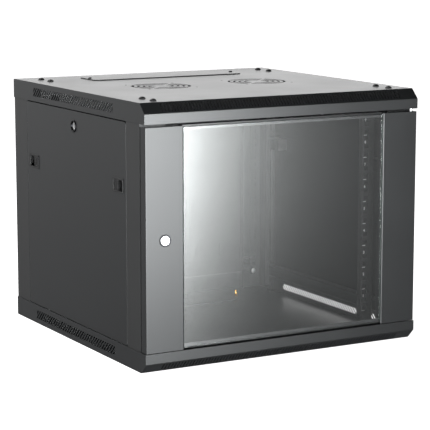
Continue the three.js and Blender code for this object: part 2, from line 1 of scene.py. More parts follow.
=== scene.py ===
"""Looks of a nine-unit network cabinet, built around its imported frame.

Metres, +Z up. The door faces -Y and hinges on the +X side. Places come from the frame's boxes, and each
sub-assembly keeps its own sizes as fields.
"""

import logging
import math
from collections.abc import Callable
from dataclasses import dataclass
from enum import Enum

import bmesh
import bpy
from mathutils import Matrix, Vector


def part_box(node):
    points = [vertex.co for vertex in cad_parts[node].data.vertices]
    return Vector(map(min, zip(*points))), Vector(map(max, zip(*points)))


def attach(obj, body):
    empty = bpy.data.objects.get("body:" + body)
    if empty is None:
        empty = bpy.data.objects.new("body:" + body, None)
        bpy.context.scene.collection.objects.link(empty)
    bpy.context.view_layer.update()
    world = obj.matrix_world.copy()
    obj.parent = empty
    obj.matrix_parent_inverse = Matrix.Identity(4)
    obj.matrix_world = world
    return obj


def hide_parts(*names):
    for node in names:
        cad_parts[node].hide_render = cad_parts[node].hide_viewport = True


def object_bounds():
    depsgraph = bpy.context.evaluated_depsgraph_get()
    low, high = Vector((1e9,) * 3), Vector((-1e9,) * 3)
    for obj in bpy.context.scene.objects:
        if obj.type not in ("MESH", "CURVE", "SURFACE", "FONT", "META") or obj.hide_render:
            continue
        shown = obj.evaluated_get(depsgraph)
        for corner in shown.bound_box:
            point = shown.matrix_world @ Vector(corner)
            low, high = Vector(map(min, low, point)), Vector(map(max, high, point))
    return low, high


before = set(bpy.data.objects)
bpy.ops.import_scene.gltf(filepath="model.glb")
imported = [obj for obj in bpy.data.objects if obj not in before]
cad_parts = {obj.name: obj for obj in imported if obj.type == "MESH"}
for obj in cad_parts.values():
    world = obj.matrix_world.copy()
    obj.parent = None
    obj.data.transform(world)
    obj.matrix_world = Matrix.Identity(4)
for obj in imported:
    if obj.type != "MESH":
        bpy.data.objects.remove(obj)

CAD_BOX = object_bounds()
LOG = logging.getLogger("cabinet")
Point = tuple[float, float]
Span = tuple[float, float]
MARGIN = 0.001  # how far a cutter runs past the sheet it cuts
SCREW_HOLE = 0.0024  # radius of the holes for the entry plate's screws
SIDES = ((-1, "left"), (1, "right"))


# ---- Nodes ----


class Value:
    """An output socket that can be calculated with: each operator adds a Math node."""

    def __init__(self, graph: "Graph", socket: bpy.types.NodeSocket):
        """Keeps the graph that the socket belongs to."""
        self.graph = graph
        self.socket = socket

    def output(self, name: str) -> "Value":
        """Another output of the same node."""
        return Value(self.graph, self.socket.node.outputs[name])

    def __add__(self, other: "Value | float") -> "Value":
        """self + other."""
        return self.graph.maths("ADD", self, other)

    def __sub__(self, other: "Value | float") -> "Value":
        """self - other."""
        return self.graph.maths("SUBTRACT", self, other)

    def __rsub__(self, other: float) -> "Value":
        """other - self."""
        return self.graph.maths("SUBTRACT", other, self)

    def __mul__(self, other: "Value | float") -> "Value":
        """self * other."""
        return self.graph.maths("MULTIPLY", self, other)

    def __truediv__(self, other: "Value | float") -> "Value":
        """self / other."""
        return self.graph.maths("DIVIDE", self, other)

    __radd__ = __add__
    __rmul__ = __mul__


class Graph:
    """A node tree with one way to add a node."""

    def __init__(self, tree: bpy.types.NodeTree):
        """Starts from an empty tree."""
        self.tree = tree
        tree.nodes.clear()

    def node(self, kind: str, settings: dict | None = None, sockets: dict | None = None,
             output: int = 0) -> Value:
        """Adds a node.

        Args:
            kind: The node's type.
            settings: Its properties, set first. "stops" are a colour ramp's (position, grey) pairs.
            sockets: Values or links by input name or index; a list links several to one input.
            output: Index of the output that is returned.

        Returns:
            The chosen output.
        """
        node = self.tree.nodes.new(kind)
        for name, setting in (settings or {}).items():
            if name == "stops":
                self._set_stops(node.color_ramp, setting)
            else:
                setattr(node, name, setting)
        for key, value in (sockets or {}).items():
            for one in value if isinstance(value, list) else [value]:
                if isinstance(one, Value):
                    self.tree.links.new(one.socket, node.inputs[key])
                else:
                    node.inputs[key].default_value = one
        return Value(self, node.outputs[output]) if node.outputs else None

    def maths(self, operation: str, first: "Value | float", second: "Value | float" = 0.0) -> Value:
        """One Math node."""
        return self.node("ShaderNodeMath", {"operation": operation}, {0: first, 1: second})

    def blend(self, factor: "Value | float", first: "Value | tuple", second: "Value | tuple") -> Value:
        """One Mix node for colours."""
        return self.node("ShaderNodeMix", {"data_type": "RGBA"}, {0: factor, 6: first, 7: second}, output=2)

    def smooth(self, value: Value, over: Span, to: Span = (0.0, 1.0)) -> Value:
        """One Map Range node that maps the value's range `over` smoothly onto the range `to`."""
        return self.node("ShaderNodeMapRange", {"interpolation_type": "SMOOTHSTEP"},
                         {"Value": value, "From Min": over[0], "From Max": over[1],
                          "To Min": to[0], "To Max": to[1]})

    @staticmethod
    def _set_stops(ramp: bpy.types.ColorRamp, stops: tuple[Point, ...]) -> None:
        """Gives a ramp its grey stops."""
        while len(ramp.elements) < len(stops):
            ramp.elements.new(0.5)
        for element, (position, grey) in zip(ramp.elements, stops):
            element.position = position
            element.color = (grey, grey, grey, 1.0)


class Tree(Graph):
    """A geometry tree with named inputs that ends in Realize Instances and Set Material."""

    SOCKETS = {int: "NodeSocketInt", float: "NodeSocketFloat", Vector: "NodeSocketVector",
               bpy.types.Object: "NodeSocketObject"}

    def __init__(self, name: str, inputs: dict[str, type]):
        """Args:
            name: The tree's name.
            inputs: Each input's name with its kind.
        """
        super().__init__(bpy.data.node_groups.new(name, "GeometryNodeTree"))
        face = self.tree.interface
        face.new_socket("Geometry", in_out="INPUT", socket_type="NodeSocketGeometry")
        for label, kind in inputs.items():
            face.new_socket(label, in_out="INPUT", socket_type=self.SOCKETS[kind])
        face.new_socket("Finish", in_out="INPUT", socket_type="NodeSocketMaterial")
        face.new_socket("Geometry", in_out="OUTPUT", socket_type="NodeSocketGeometry")
        self.start = self.node("NodeGroupInput")

    def __getitem__(self, name: str) -> Value:
        """One of the tree's inputs."""
        return self.start.output(name)

    def line(self) -> Value:
        """Points in a straight row, by the inputs Count, Start and Step."""
        return self.node("GeometryNodeMeshLine", {"mode": "OFFSET"},
                         {"Count": self["Count"], "Start Location": self["Start"], "Offset": self["Step"]})

    def copies(self, points: Value, pattern: Value, **more: Value) -> Value:
        """Copies of a geometry on points, as real geometry."""
        row = self.node("GeometryNodeInstanceOnPoints", None, {"Points": points, "Instance": pattern, **more})
        return self.node("GeometryNodeRealizeInstances", None, {0: row})

    def moved(self, geometry: Value, place: Value) -> Value:
        """A geometry, moved."""
        return self.node("GeometryNodeTransform", None, {"Geometry": geometry, "Translation": place})

    def cut(self, mesh: Value, cutter: Value) -> Value:
        """A mesh with another cut out of it."""
        return self.node("GeometryNodeMeshBoolean", {"operation": "DIFFERENCE", "solver": "MANIFOLD"},
                         {"Mesh 1": mesh, "Mesh 2": cutter})

    def end(self, geometry: Value) -> "Tree":
        """Closes the tree with the geometry it gives."""
        real = self.node("GeometryNodeRealizeInstances", None, {0: geometry})
        dressed = self.node("GeometryNodeSetMaterial", None, {"Geometry": real, "Material": self["Finish"]})
        self.node("NodeGroupOutput", None, {0: dressed})
        return self

    def run(self, piece: bpy.types.Object, finish: bpy.types.Material, **values: object) -> None:
        """Runs the tree on a piece and keeps the result as its plain mesh.

        Args:
            piece: The object that holds the incoming geometry.
            finish: The material of the result.
            values: The inputs, with spaces in their names written as underscores.
        """
        modifier = piece.modifiers.new(self.tree.name, "NODES")
        modifier.node_group = self.tree
        sockets = {s.name: s.identifier for s in self.tree.interface.items_tree if s.in_out == "INPUT"}
        modifier[sockets["Finish"]] = finish
        for name, value in values.items():
            modifier[sockets[name.replace("_", " ")]] = value
        bake(piece)


def slot_tree() -> Tree:
    """Tree that cuts a straight row of round-cornered slots, clipped by a box."""
    tree = Tree("slot_row", {
        "Count": int, "Start": Vector, "Step": Vector, "Turn": Vector, "Length": float, "Width": float,
        "Corner": float, "Depth": float, "Clip Middle": Vector, "Clip Size": Vector,
    })
    outline = tree.node("GeometryNodeCurvePrimitiveQuadrilateral", None,
                        {"Width": tree["Width"], "Height": tree["Length"]})
    outline = tree.node("GeometryNodeFilletCurve", {"mode": "POLY"},
                        {0: outline, "Count": 4, "Radius": tree["Corner"]})
    reach = tree.node("ShaderNodeCombineXYZ", None, {2: tree["Depth"]})
    line = tree.node("GeometryNodeCurvePrimitiveLine", None, {"End": reach})
    cutter = tree.node("GeometryNodeCurveToMesh", None,
                       {"Curve": line, "Profile Curve": outline, "Fill Caps": True})
    turn = tree.node("FunctionNodeEulerToRotation", None, {0: tree["Turn"]})
    row = tree.copies(tree.line(), cutter, Rotation=turn)
    box = tree.node("GeometryNodeMeshCube", None, {"Size": tree["Clip Size"]})
    box = tree.moved(box, tree["Clip Middle"])
    clipped = tree.node("GeometryNodeMeshBoolean", {"operation": "INTERSECT", "solver": "MANIFOLD"},
                        {"Mesh 2": [box, row]})
    return tree.end(tree.cut(tree["Geometry"], clipped))


def grille_tree() -> Tree:
    """Tree that cuts a fan grille: ring slots crossed by two spokes, and four fan screw holes."""
    tree = Tree("fan_grille", {
        "Middle": Vector, "Rings": int, "Outer Radius": float, "Ring Step": float, "Slot Width": float,
        "Spoke Width": float, "Screw Spacing": float, "Screw Radius": float,
    })
    index = tree.node("GeometryNodeInputIndex")
    circle = tree.node("GeometryNodeCurvePrimitiveCircle", None, {"Resolution": 64, "Radius": 1.0})
    points = tree.node("GeometryNodeMeshLine", {"mode": "OFFSET"},
                       {"Count": tree["Rings"], "Offset": (0.0, 0.0, 0.0)})
    radius = tree["Outer Radius"] - index * tree["Ring Step"]
    rings = tree.copies(points, circle, Scale=radius)
    square = tree.node("GeometryNodeCurvePrimitiveQuadrilateral", None,
                       {"Width": tree["Slot Width"], "Height": tree["Slot Width"]})
    rings = tree.node("GeometryNodeCurveToMesh", None, {"Curve": rings, "Profile Curve": square})
    bar = tree.node("ShaderNodeCombineXYZ", None,
                    {0: tree["Outer Radius"] * 3.0, 1: tree["Spoke Width"], 2: tree["Slot Width"] * 2.0})
    bar = tree.node("GeometryNodeMeshCube", None, {"Size": bar})
    spokes = [tree.node("GeometryNodeTransform", None, {"Geometry": bar, "Rotation": (0.0, 0.0, turn)})
              for turn in (math.pi / 4, -math.pi / 4)]
    for spoke in spokes:
        rings = tree.cut(rings, spoke)
    corners = tree.node("GeometryNodeMeshGrid", None, {
        "Size X": tree["Screw Spacing"], "Size Y": tree["Screw Spacing"], "Vertices X": 2, "Vertices Y": 2})
    hole = tree.node("GeometryNodeMeshCylinder", None,
                     {"Vertices": 16, "Radius": tree["Screw Radius"], "Depth": tree["Slot Width"]})
    sheet = tree["Geometry"]
    for cutter in (rings, tree.copies(corners, hole)):
        sheet = tree.cut(sheet, tree.moved(cutter, tree["Middle"]))
    return tree.end(sheet)


def copies_tree() -> Tree:
    """Tree that sets a copy of an object on every point of the incoming mesh."""
    tree = Tree("copies", {"Pattern": bpy.types.Object})
    pattern = tree.node("GeometryNodeObjectInfo", None, {0: tree["Pattern"]}).output("Geometry")
    return tree.end(tree.copies(tree["Geometry"], pattern))


def bars_tree() -> Tree:
    """Tree that lays equal bars along a straight line."""
    tree = Tree("bars", {"Count": int, "Start": Vector, "Step": Vector, "Size": Vector})
    bar = tree.node("GeometryNodeMeshCube", None, {"Size": tree["Size"]})
    return tree.end(tree.copies(tree.line(), bar))


# ---- Finishes ----


@dataclass(frozen=True)
class Finish:
    """What every finish has.

    A finish's own class adds what varies over its surface.
    """

    name: str
    slot: str
    colour: tuple[float, float, float]
    roughness: float

    def material(self) -> bpy.types.Material:
        """The finish's material, made when it is first asked for."""
        known = bpy.data.materials.get(self.name)
        if known:
            return known
        made = bpy.data.materials.new(self.name)
        made.use_nodes = True
        made.diffuse_color = (*self.colour, 1.0)
        graph = Graph(made.node_tree)
        place = graph.node("ShaderNodeTexCoord").output("Object")
        shader = graph.node("ShaderNodeBsdfPrincipled", None, self.sockets(graph, place))
        graph.node("ShaderNodeOutputMaterial", None, {"Surface": shader})
        return made

    def sockets(self, graph: Graph, place: Value) -> dict:
        """The shader's sockets."""
        raise NotImplementedError

    def noise(self, graph: Graph, place: Value, scale: float, detail: float = 2.0) -> Value:
        """Noise from 0 to 1, with `scale` cells in a metre."""
        return graph.node("ShaderNodeTexNoise", None, {"Vector": place, "Scale": scale, "Detail": detail})

    def tint(self, amount: float) -> tuple[float, float, float, float]:
        """The colour, lighter or darker by a factor."""
        return (*(min(1.0, part * amount) for part in self.colour), 1.0)


@dataclass(frozen=True)
class Coat(Finish):
    """Satin powder coat: orange-peel waves, a fine grain and slow changes of tone."""

    peel: float = 420.0
    grain: float = 2600.0
    depth: float = 0.00006

    def sockets(self, graph: Graph, place: Value) -> dict:
        """Colour from slow tone and grain, bump from the peel and the grain."""
        tone = self.noise(graph, place, 9.0, 3.0)
        grain = self.noise(graph, place, self.grain)
        peel = self.noise(graph, place, self.peel)
        colour = graph.blend(tone * 0.75 + grain * 0.25, self.tint(0.82), self.tint(1.2))
        bump = graph.node("ShaderNodeBump", None,
                          {"Strength": 0.2, "Distance": self.depth, "Height": peel * 0.8 + grain * 0.2})
        return {"Base Color": colour, "Roughness": tone * 0.08 + grain * 0.05 + (self.roughness - 0.06),
                "Normal": bump}


@dataclass(frozen=True)
class Metal(Finish):
    """Bare or plated metal with fine marks across it."""

    marks: float = 900.0
    contrast: float = 0.12

    def sockets(self, graph: Graph, place: Value) -> dict:
        """Colour and roughness from soft cells and long fine marks."""
        stretched = graph.node("ShaderNodeMapping", None, {"Vector": place, "Scale": (1.0, 1.0, 0.08)})
        marks = self.noise(graph, stretched, self.marks, 4.0)
        cells = graph.node("ShaderNodeTexVoronoi", None, {"Vector": place, "Scale": self.marks * 0.3})
        cloud = cells * 0.35 + marks * 0.65
        colour = graph.blend(cloud, self.tint(1.0 - self.contrast), self.tint(1.0 + self.contrast))
        bump = graph.node("ShaderNodeBump", None, {"Strength": 0.15, "Distance": 0.00002, "Height": marks})
        return {"Base Color": colour, "Metallic": 1.0, "Normal": bump,
                "Roughness": cloud * self.contrast + (self.roughness - self.contrast / 2)}


@dataclass(frozen=True)
class Moulded(Finish):
    """Moulded plastic or print with a fine spark-eroded grain."""

    grain: float = 3200.0

    def sockets(self, graph: Graph, place: Value) -> dict:
        """Colour, roughness and bump from the grain and a slow tone."""
        grain = self.noise(graph, place, self.grain, 3.0)
        tone = self.noise(graph, place, 60.0)
        bump = graph.node("ShaderNodeBump", None, {"Strength": 0.3, "Distance": 0.00004, "Height": grain})
        return {"Base Color": graph.blend(tone, self.tint(0.82), self.tint(1.2)), "Normal": bump,
                "Roughness": grain * 0.12 + (self.roughness - 0.06)}


@dataclass(frozen=True)
class Pane(Finish):
    """Clear float glass: its mirror image over what lies behind it, and a faint film left by wiping."""

    film: float = 14.0
    head_on: float = 0.043

    def sockets(self, graph: Graph, place: Value) -> dict:
        """Share that is mirrored: grows towards grazing views, and a little with the film."""
        stretched = graph.node("ShaderNodeMapping", None, {"Vector": place, "Scale": (1.0, 1.0, 3.0)})
        film = self.noise(graph, stretched, self.film, 4.0)
        facing = graph.node("ShaderNodeLayerWeight", None, {"Blend": 0.5}).output("Facing")
        mirrored = graph.maths("POWER", facing, 5.0) * (1.0 - self.head_on) + self.head_on
        return {"Base Color": graph.blend(film, self.tint(0.97), self.tint(1.0)), "Metallic": 1.0,
                "Roughness": film * 0.008, "Alpha": mirrored + film * 0.006}


POWDER_COAT = Coat("powder_coat_satin", "powder_coat", (0.020, 0.0215, 0.0230), 0.37)
FRAME_COAT = Coat("frame_coat_satin", "frame_coat", (0.026, 0.027, 0.028), 0.42)
LOCK_BODY = Metal("lock_body_blackened", "lock_body", (0.020, 0.020, 0.022), 0.34)
CHROME = Metal("chrome_polished", "chrome", (0.93, 0.94, 0.95), 0.20, contrast=0.05)
ZINC = Metal("zinc_plated", "zinc", (0.60, 0.61, 0.62), 0.34, contrast=0.14)
BLACK_ZINC = Metal("black_zinc_plated", "zinc", (0.05, 0.05, 0.052), 0.42, contrast=0.10)
BRASS = Metal("brass_turned", "brass", (0.78, 0.56, 0.25), 0.26)
PLASTIC = Moulded("black_plastic", "plastic", (0.012, 0.012, 0.013), 0.46)
PRINT = Moulded("printed_marks", "frame_coat", (0.80, 0.81, 0.82), 0.6)
# Painted shade: near-black sheet that stands in for the dark view through the bevel slots.
SLOT_SHADE_SHEET = Moulded("black_gauze", "plastic", (0.006, 0.006, 0.0065), 0.85, grain=900.0)
NYLON = Moulded("white_nylon", "plastic", (0.80, 0.80, 0.78), 0.42)
GLASS = Pane("clear_glass", "glass", (0.985, 1.0, 0.995), 0.0)
GROUND_EDGE = Moulded("glass_ground_edge", "glass", (0.05, 0.065, 0.06), 0.35, grain=1800.0)


# ---- Meshes ----


class Axis(Enum):
    """The axis that an outline is drawn out along."""

    X = 0
    Y = 1
    Z = 2

    def place(self, first: float, second: float, along: float) -> tuple[float, float, float]:
        """The point with these two outline coordinates at a distance along the axis."""
        return {Axis.X: (along, first, second), Axis.Y: (first, along, second),
                Axis.Z: (first, second, along)}[self]


def new_piece(name: str, mesh: bpy.types.Mesh) -> bpy.types.Object:
    """An object for a mesh, in the scene, at the origin."""
    piece = bpy.data.objects.new(name, mesh)
    bpy.context.scene.collection.objects.link(piece)
    return piece


def from_bmesh(name: str, shape: bmesh.types.BMesh) -> bpy.types.Object:
    """An object for a bmesh whose faces are turned outwards first."""
    bmesh.ops.recalc_face_normals(shape, faces=shape.faces)
    mesh = bpy.data.meshes.new(name)
    shape.to_mesh(mesh)
    shape.free()
    return new_piece(name, mesh)


def bake(piece: bpy.types.Object) -> None:
    """Makes what the modifiers give the piece's own plain mesh."""
    graph = bpy.context.evaluated_depsgraph_get()
    mesh = bpy.data.meshes.new_from_object(piece.evaluated_get(graph))
    piece.modifiers.clear()
    piece.data = mesh


def fillet(corners: list[tuple[float, float, float]], steps: int = 4) -> list[Point]:
    """Rounds the corners of a closed outline.

    Args:
        corners: (first, second, radius) of each corner.
        steps: Straight stretches in each round corner.

    Returns:
        The outline's points.
    """
    points = []
    for index, (first, second, radius) in enumerate(corners):
        corner = Vector((first, second))
        if radius <= 0.0:
            points.append(tuple(corner))
            continue
        back = (Vector(corners[index - 1][:2]) - corner).normalized()
        ahead = (Vector(corners[(index + 1) % len(corners)][:2]) - corner).normalized()
        half = back.angle(ahead) / 2
        middle = corner + (back + ahead).normalized() * radius / math.sin(half)
        arm = corner + back * radius / math.tan(half) - middle
        sweep = math.copysign(math.pi - 2 * half, back.x * ahead.y - back.y * ahead.x) * -1
        turns = [Matrix.Rotation(sweep * step / steps, 2) for step in range(steps + 1)]
        points += [tuple(middle + turn @ arm) for turn in turns]
    return points


def round_box(across: Span, along: Span, radius: float) -> list[Point]:
    """Outline of a rectangle with round corners."""
    (a0, a1), (b0, b1) = across, along
    return fillet([(a0, b0, radius), (a1, b0, radius), (a1, b1, radius), (a0, b1, radius)])


def circle(middle: Point, radius: float, steps: int = 32) -> list[Point]:
    """Outline of a circle."""
    turns = [2 * math.pi * step / steps for step in range(steps)]
    return [(middle[0] + radius * math.cos(turn), middle[1] + radius * math.sin(turn)) for turn in turns]


def folded(path: list[Point], thickness: float, bend: float) -> list[Point]:
    """Outline of a folded sheet: a path, and the same path moved to its left by the thickness.

    Args:
        path: Corners of the sheet's face.
        thickness: Of the sheet; negative to lie right of the path.
        bend: Inner radius of each fold.

    Returns:
        The outline's points.
    """
    ways = [(Vector(b) - Vector(a)).normalized() for a, b in zip(path, path[1:])]
    lefts = [Vector((-way.y, way.x)) for way in ways]
    near, far = [], []
    for index, point in enumerate(path):
        before, after = lefts[max(index - 1, 0)], lefts[min(index, len(lefts) - 1)]
        middle = (before + after).normalized()
        moved = Vector(point) + middle * thickness / middle.dot(after)
        inner = outer = 0.0
        if 0 < index < len(path) - 1:
            turn = before.x * after.y - before.y * after.x
            inner, outer = (bend, bend + abs(thickness))
            if turn * thickness > 0:
                inner, outer = outer, inner
        near.append((*point, inner))
        far.append((*moved, outer))
    return fillet(near + far[::-1])


def prism(name: str, outline: list[Point], axis: Axis, span: Span,
          round_ends: float = 0.0) -> bpy.types.Object:
    """Straight bar with an outline.

    Args:
        name: Of the object.
        outline: Closed outline, without repeating its first point.
        axis: That the outline is drawn out along.
        span: From where to where.
        round_ends: Radius around the rim of both ends.

    Returns:
        The object.
    """
    shape = bmesh.new()
    rings = [[shape.verts.new(axis.place(*point, level)) for point in outline] for level in span]
    for ring in rings:
        shape.faces.new(ring)
    count = len(outline)
    for index in range(count):
        following = (index + 1) % count
        shape.faces.new((rings[0][index], rings[0][following], rings[1][following], rings[1][index]))
    if round_ends:
        ends = {round(level, 6) for level in span}
        rim = [edge for edge in shape.edges
               if all(round(vert.co[axis.value], 6) in ends for vert in edge.verts)]
        bmesh.ops.bevel(shape, geom=rim, offset=round_ends, segments=3, profile=0.5, affect="EDGES",
                        clamp_overlap=True)
    return from_bmesh(name, shape)


def turned(name: str, profile: list[Point], mouth: Vector, inward: Vector,
           steps: int = 64) -> bpy.types.Object:
    """Turned shape.

    Args:
        name: Of the object.
        profile: (radius, depth) points that start and end on the axis, or close on themselves.
        mouth: Where depth is nought.
        inward: Unit direction in which depth grows.
        steps: Around the axis.

    Returns:
        The object.
    """
    side = inward.orthogonal().normalized()
    shape = bmesh.new()
    verts = [shape.verts.new(mouth + side * radius + inward * depth) for radius, depth in profile]
    open_ended = profile[0][0] == 0.0 and profile[-1][0] == 0.0
    pairs = list(zip(verts, verts[1:])) + ([] if open_ended else [(verts[-1], verts[0])])
    edges = [shape.edges.new(pair) for pair in pairs]
    bmesh.ops.spin(shape, geom=verts + edges, cent=mouth, axis=inward, angle=2 * math.pi, steps=steps)
    bmesh.ops.remove_doubles(shape, verts=shape.verts, dist=1e-6)
    return from_bmesh(name, shape)


def carve(piece: bpy.types.Object, cutters: list[bpy.types.Object], join: bool = False) -> None:
    """Cuts other objects out of a piece, or joins them to it, and removes them.

    Args:
        piece: The object that is changed.
        cutters: Closed objects.
        join: Adds them instead.
    """
    for cutter in cutters:
        modifier = piece.modifiers.new("carve", "BOOLEAN")
        modifier.operation = "UNION" if join else "DIFFERENCE"
        modifier.solver = "MANIFOLD"
        modifier.object = cutter
    bake(piece)
    for cutter in cutters:
        bpy.data.objects.remove(cutter)


def soften(piece: bpy.types.Object, radius: float, segments: int = 2) -> None:
    """Rounds every sharp edge of a piece a little, so that it catches the light."""
    bevel = piece.modifiers.new("edges", "BEVEL")
    bevel.width = radius
    bevel.segments = segments
    bevel.limit_method = "ANGLE"
    bevel.angle_limit = math.radians(35)
    bake(piece)


def solid_copy(node: str) -> bpy.types.Object:
    """Copy of a node's solid with its triangles merged into whole faces."""
    shape = bmesh.new()
    shape.from_mesh(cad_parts[node].data)
    bmesh.ops.remove_doubles(shape, verts=shape.verts, dist=1e-6)
    bmesh.ops.dissolve_limit(shape, angle_limit=math.radians(1), verts=shape.verts, edges=shape.edges)
    return from_bmesh(f"{node}_finished", shape)


def dress(piece: bpy.types.Object, finish: Finish, body: str, *nodes: str) -> bpy.types.Object:
    """Gives a piece its finish, its body and the nodes that it stands for.

    Args:
        piece: A finished mesh.
        finish: Of its whole surface.
        body: That it moves with.
        nodes: That it replaces, if any.

    Returns:
        The piece.
    """
    piece.data.materials.clear()
    piece.data.materials.append(finish.material())
    piece.data.shade_smooth()
    piece.data.set_sharp_from_angle(angle=math.radians(48))
    flat = piece.modifiers.new("flat_faces", "WEIGHTED_NORMAL")
    flat.keep_sharp = True
    flat.weight = 100
    bake(piece)
    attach(piece, body)
    if nodes:
        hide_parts(*nodes)
    LOG.info("%s: %d faces, rides on %s", piece.name, len(piece.data.polygons), body)
    return piece


def middle(node: str) -> Vector:
    """Middle of a node's box."""
    low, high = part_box(node)
    return (low + high) / 2


def euler(length: Vector, depth: Vector) -> Vector:
    """Turn that lays a slot cutter's length and depth along two directions."""
    width = length.cross(depth)
    return Vector(Matrix((width, length, depth)).transposed().to_euler("XYZ"))


# ---- Covers ----


class Level(Enum):
    """Which of the two covers, by the way that its plate faces."""

    TOP = 1
    BOTTOM = -1


@dataclass
class Cover:
    """Folded pan with a bevelled front, rows of vent slots and, on top, two fan grilles."""

    level: Level
    sheet: float = 0.0015
    bevel: float = 0.019
    lip: float = 0.015
    bend: float = 0.0024
    corner: float = 0.0022
    slot_pitch: float = 0.0065
    slot_width: float = 0.0031
    slot_length: float = 0.0195
    slot_half_row: float = 0.2615
    vent_pitch: float = 0.010
    vent_width: float = 0.0044
    vent_lean: float = math.radians(46)
    vent_row: Span = (-0.170, 0.199)
    vent_drop: Span = (0.0105, 0.0280)
    strip_gap: float = 0.0022
    strip_end: float = 0.0004
    strip_past: float = 0.006
    strip_shift: float = 0.00056
    grille_x: float = 0.110
    grille_rings: int = 4
    grille_radius: float = 0.057
    grille_step: float = 0.011
    grille_slot: float = 0.0052
    grille_spoke: float = 0.006
    fan_screw_spacing: float = 0.105
    fan_screw_radius: float = 0.0022
    entry_land: float = 0.014
    entry_corner: float = 0.008
    hole_play: float = 0.0004
    hole_reach: float = 0.012
    cap_hole: float = 0.004

    def __post_init__(self) -> None:
        """Reads the cover's box."""
        self.node = f"{self.level.name.lower()}_cover"
        self.low, self.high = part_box(self.node)
        self.height = self.high.z - self.low.z
        self.plate = self.high.z if self.level is Level.TOP else self.low.z

    def z(self, drop: float) -> float:
        """Height of a level that lies `drop` inside the plate's outer face."""
        return self.plate - self.level.value * drop

    def pan(self) -> bpy.types.Object:
        """The folded pan with round bends and corners."""
        front, rear, half = self.low.y, self.high.y, self.high.x
        outer = [(front, self.z(self.height), 0), (front, self.z(self.bevel), self.bend),
                 (front + self.bevel, self.z(0), self.bend), (rear, self.z(0), self.bend),
                 (rear, self.z(self.height), 0)]
        slope = self.sheet * math.tan(math.pi / 8)
        past = self.z(self.height + MARGIN)
        hollow = [(front + self.lip, past), (front + self.lip, self.z(self.height - self.sheet)),
                  (front + self.sheet, self.z(self.height - self.sheet)),
                  (front + self.sheet, self.z(self.bevel + slope)),
                  (front + self.bevel + slope, self.z(self.sheet)), (rear - self.sheet, self.z(self.sheet)),
                  (rear - self.sheet, past)]
        pan = prism(f"{self.node}_finished", fillet(outer), Axis.X, (-half, half), self.corner)
        inside = prism("hollow", hollow, Axis.X, (self.sheet - half, half - self.sheet))
        carve(pan, [inside])
        return pan

    def entry_outline(self, margin: float = 0.0) -> list[Point]:
        """Outline of the cable opening, widened by a margin."""
        low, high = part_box(f"{self.level.name.lower()}_entry_plate")
        land = self.entry_land - margin
        return round_box((low.x + land, high.x - land), (low.y + land, high.y - land),
                         self.entry_corner + margin)

    def holes(self) -> list[bpy.types.Object]:
        """Cutters for the cable opening, the hinge pin, the caps and the plate's screws."""
        through = sorted((self.z(-MARGIN), self.z(self.hole_reach)))
        pin_low, pin_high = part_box("upper_hinge_pin")
        pin = middle("upper_hinge_pin")
        pin_radius = (pin_high.x - pin_low.x) / 2 + self.hole_play
        lip = sorted((self.z(self.height + MARGIN), self.z(self.height - self.sheet - MARGIN)))
        cutters = [prism("entry", self.entry_outline(), Axis.Z, through),
                   prism("pin", circle((pin.x, pin.y), pin_radius), Axis.Z, lip)]
        if self.level is Level.TOP:
            cutters += [prism("cap_hole", circle(place[:2], self.cap_hole), Axis.Z, through)
                        for place in cap_places()]
            cutters += screw_holes(through)
        return cutters

    def bevel_slots(self, pan: bpy.types.Object) -> None:
        """Cuts the row of slots in the bevelled front."""
        up = Vector((0, 1, self.level.value)).normalized()
        out = Vector((0, -1, self.level.value)).normalized()
        centre = Vector((0, self.low.y + self.bevel / 2, self.z(self.bevel / 2)))
        count = int(2 * self.slot_half_row / self.slot_pitch) + 1
        depth = 4 * self.sheet
        start = centre - out * depth / 2 - Vector(((count - 1) * self.slot_pitch / 2, 0, 0))
        SLOTS.run(pan, POWDER_COAT.material(), Count=count, Start=start, Step=(self.slot_pitch, 0, 0),
                  Turn=euler(up, out), Length=self.slot_length, Width=self.slot_width,
                  Corner=self.slot_width * 0.45, Depth=depth, Clip_Middle=centre,
                  Clip_Size=(2 * self.slot_half_row, self.bevel * 2, self.bevel * 2))

    def slot_shade_strip(self) -> None:
        """Near-black strip behind the slots of the bevelled front: painted shade that keeps the view through
        the slots dark.
        """
        half = self.slot_half_row + self.strip_past
        gap, shift = self.sheet + self.strip_gap, self.strip_shift
        near = [(self.low.y + gap, self.z(self.bevel + self.strip_end)),
                (self.low.y + self.bevel + self.strip_end, self.z(gap))]
        far = [(y + shift, z - self.level.value * shift) for y, z in near]
        strip = prism(f"{self.node}_filter_strip", near + far[::-1], Axis.X, (-half, half))
        # painted shade: the near-black strip darkens what shows through the bevel slots
        dress(strip, SLOT_SHADE_SHEET, "cabinet")

    def side_vents(self, pan: bpy.types.Object, side: int) -> None:
        """Cuts one side flange's slanted vents, clipped to a straight band.

        Args:
            pan: The cover.
            side: -1 for left, 1 for right.
        """
        tall = sorted((self.z(self.vent_drop[0]), self.z(self.vent_drop[1])))
        length = Vector((0, side * math.sin(self.vent_lean), math.cos(self.vent_lean)))
        band = Vector((0, sum(self.vent_row) / 2, sum(tall) / 2))
        band.x = side * (self.high.x - self.sheet / 2)
        run = self.vent_row[1] - self.vent_row[0]
        count = int(run / self.vent_pitch) + 4
        start = band - Vector((2 * self.sheet, (count - 1) * self.vent_pitch / 2, 0))
        SLOTS.run(pan, POWDER_COAT.material(), Count=count, Start=start, Step=(0, self.vent_pitch, 0),
                  Turn=euler(length, Vector((1, 0, 0))), Length=0.04, Width=self.vent_width,
                  Corner=self.vent_width * 0.2, Depth=4 * self.sheet, Clip_Middle=band,
                  Clip_Size=(3 * self.sheet, run, tall[1] - tall[0]))

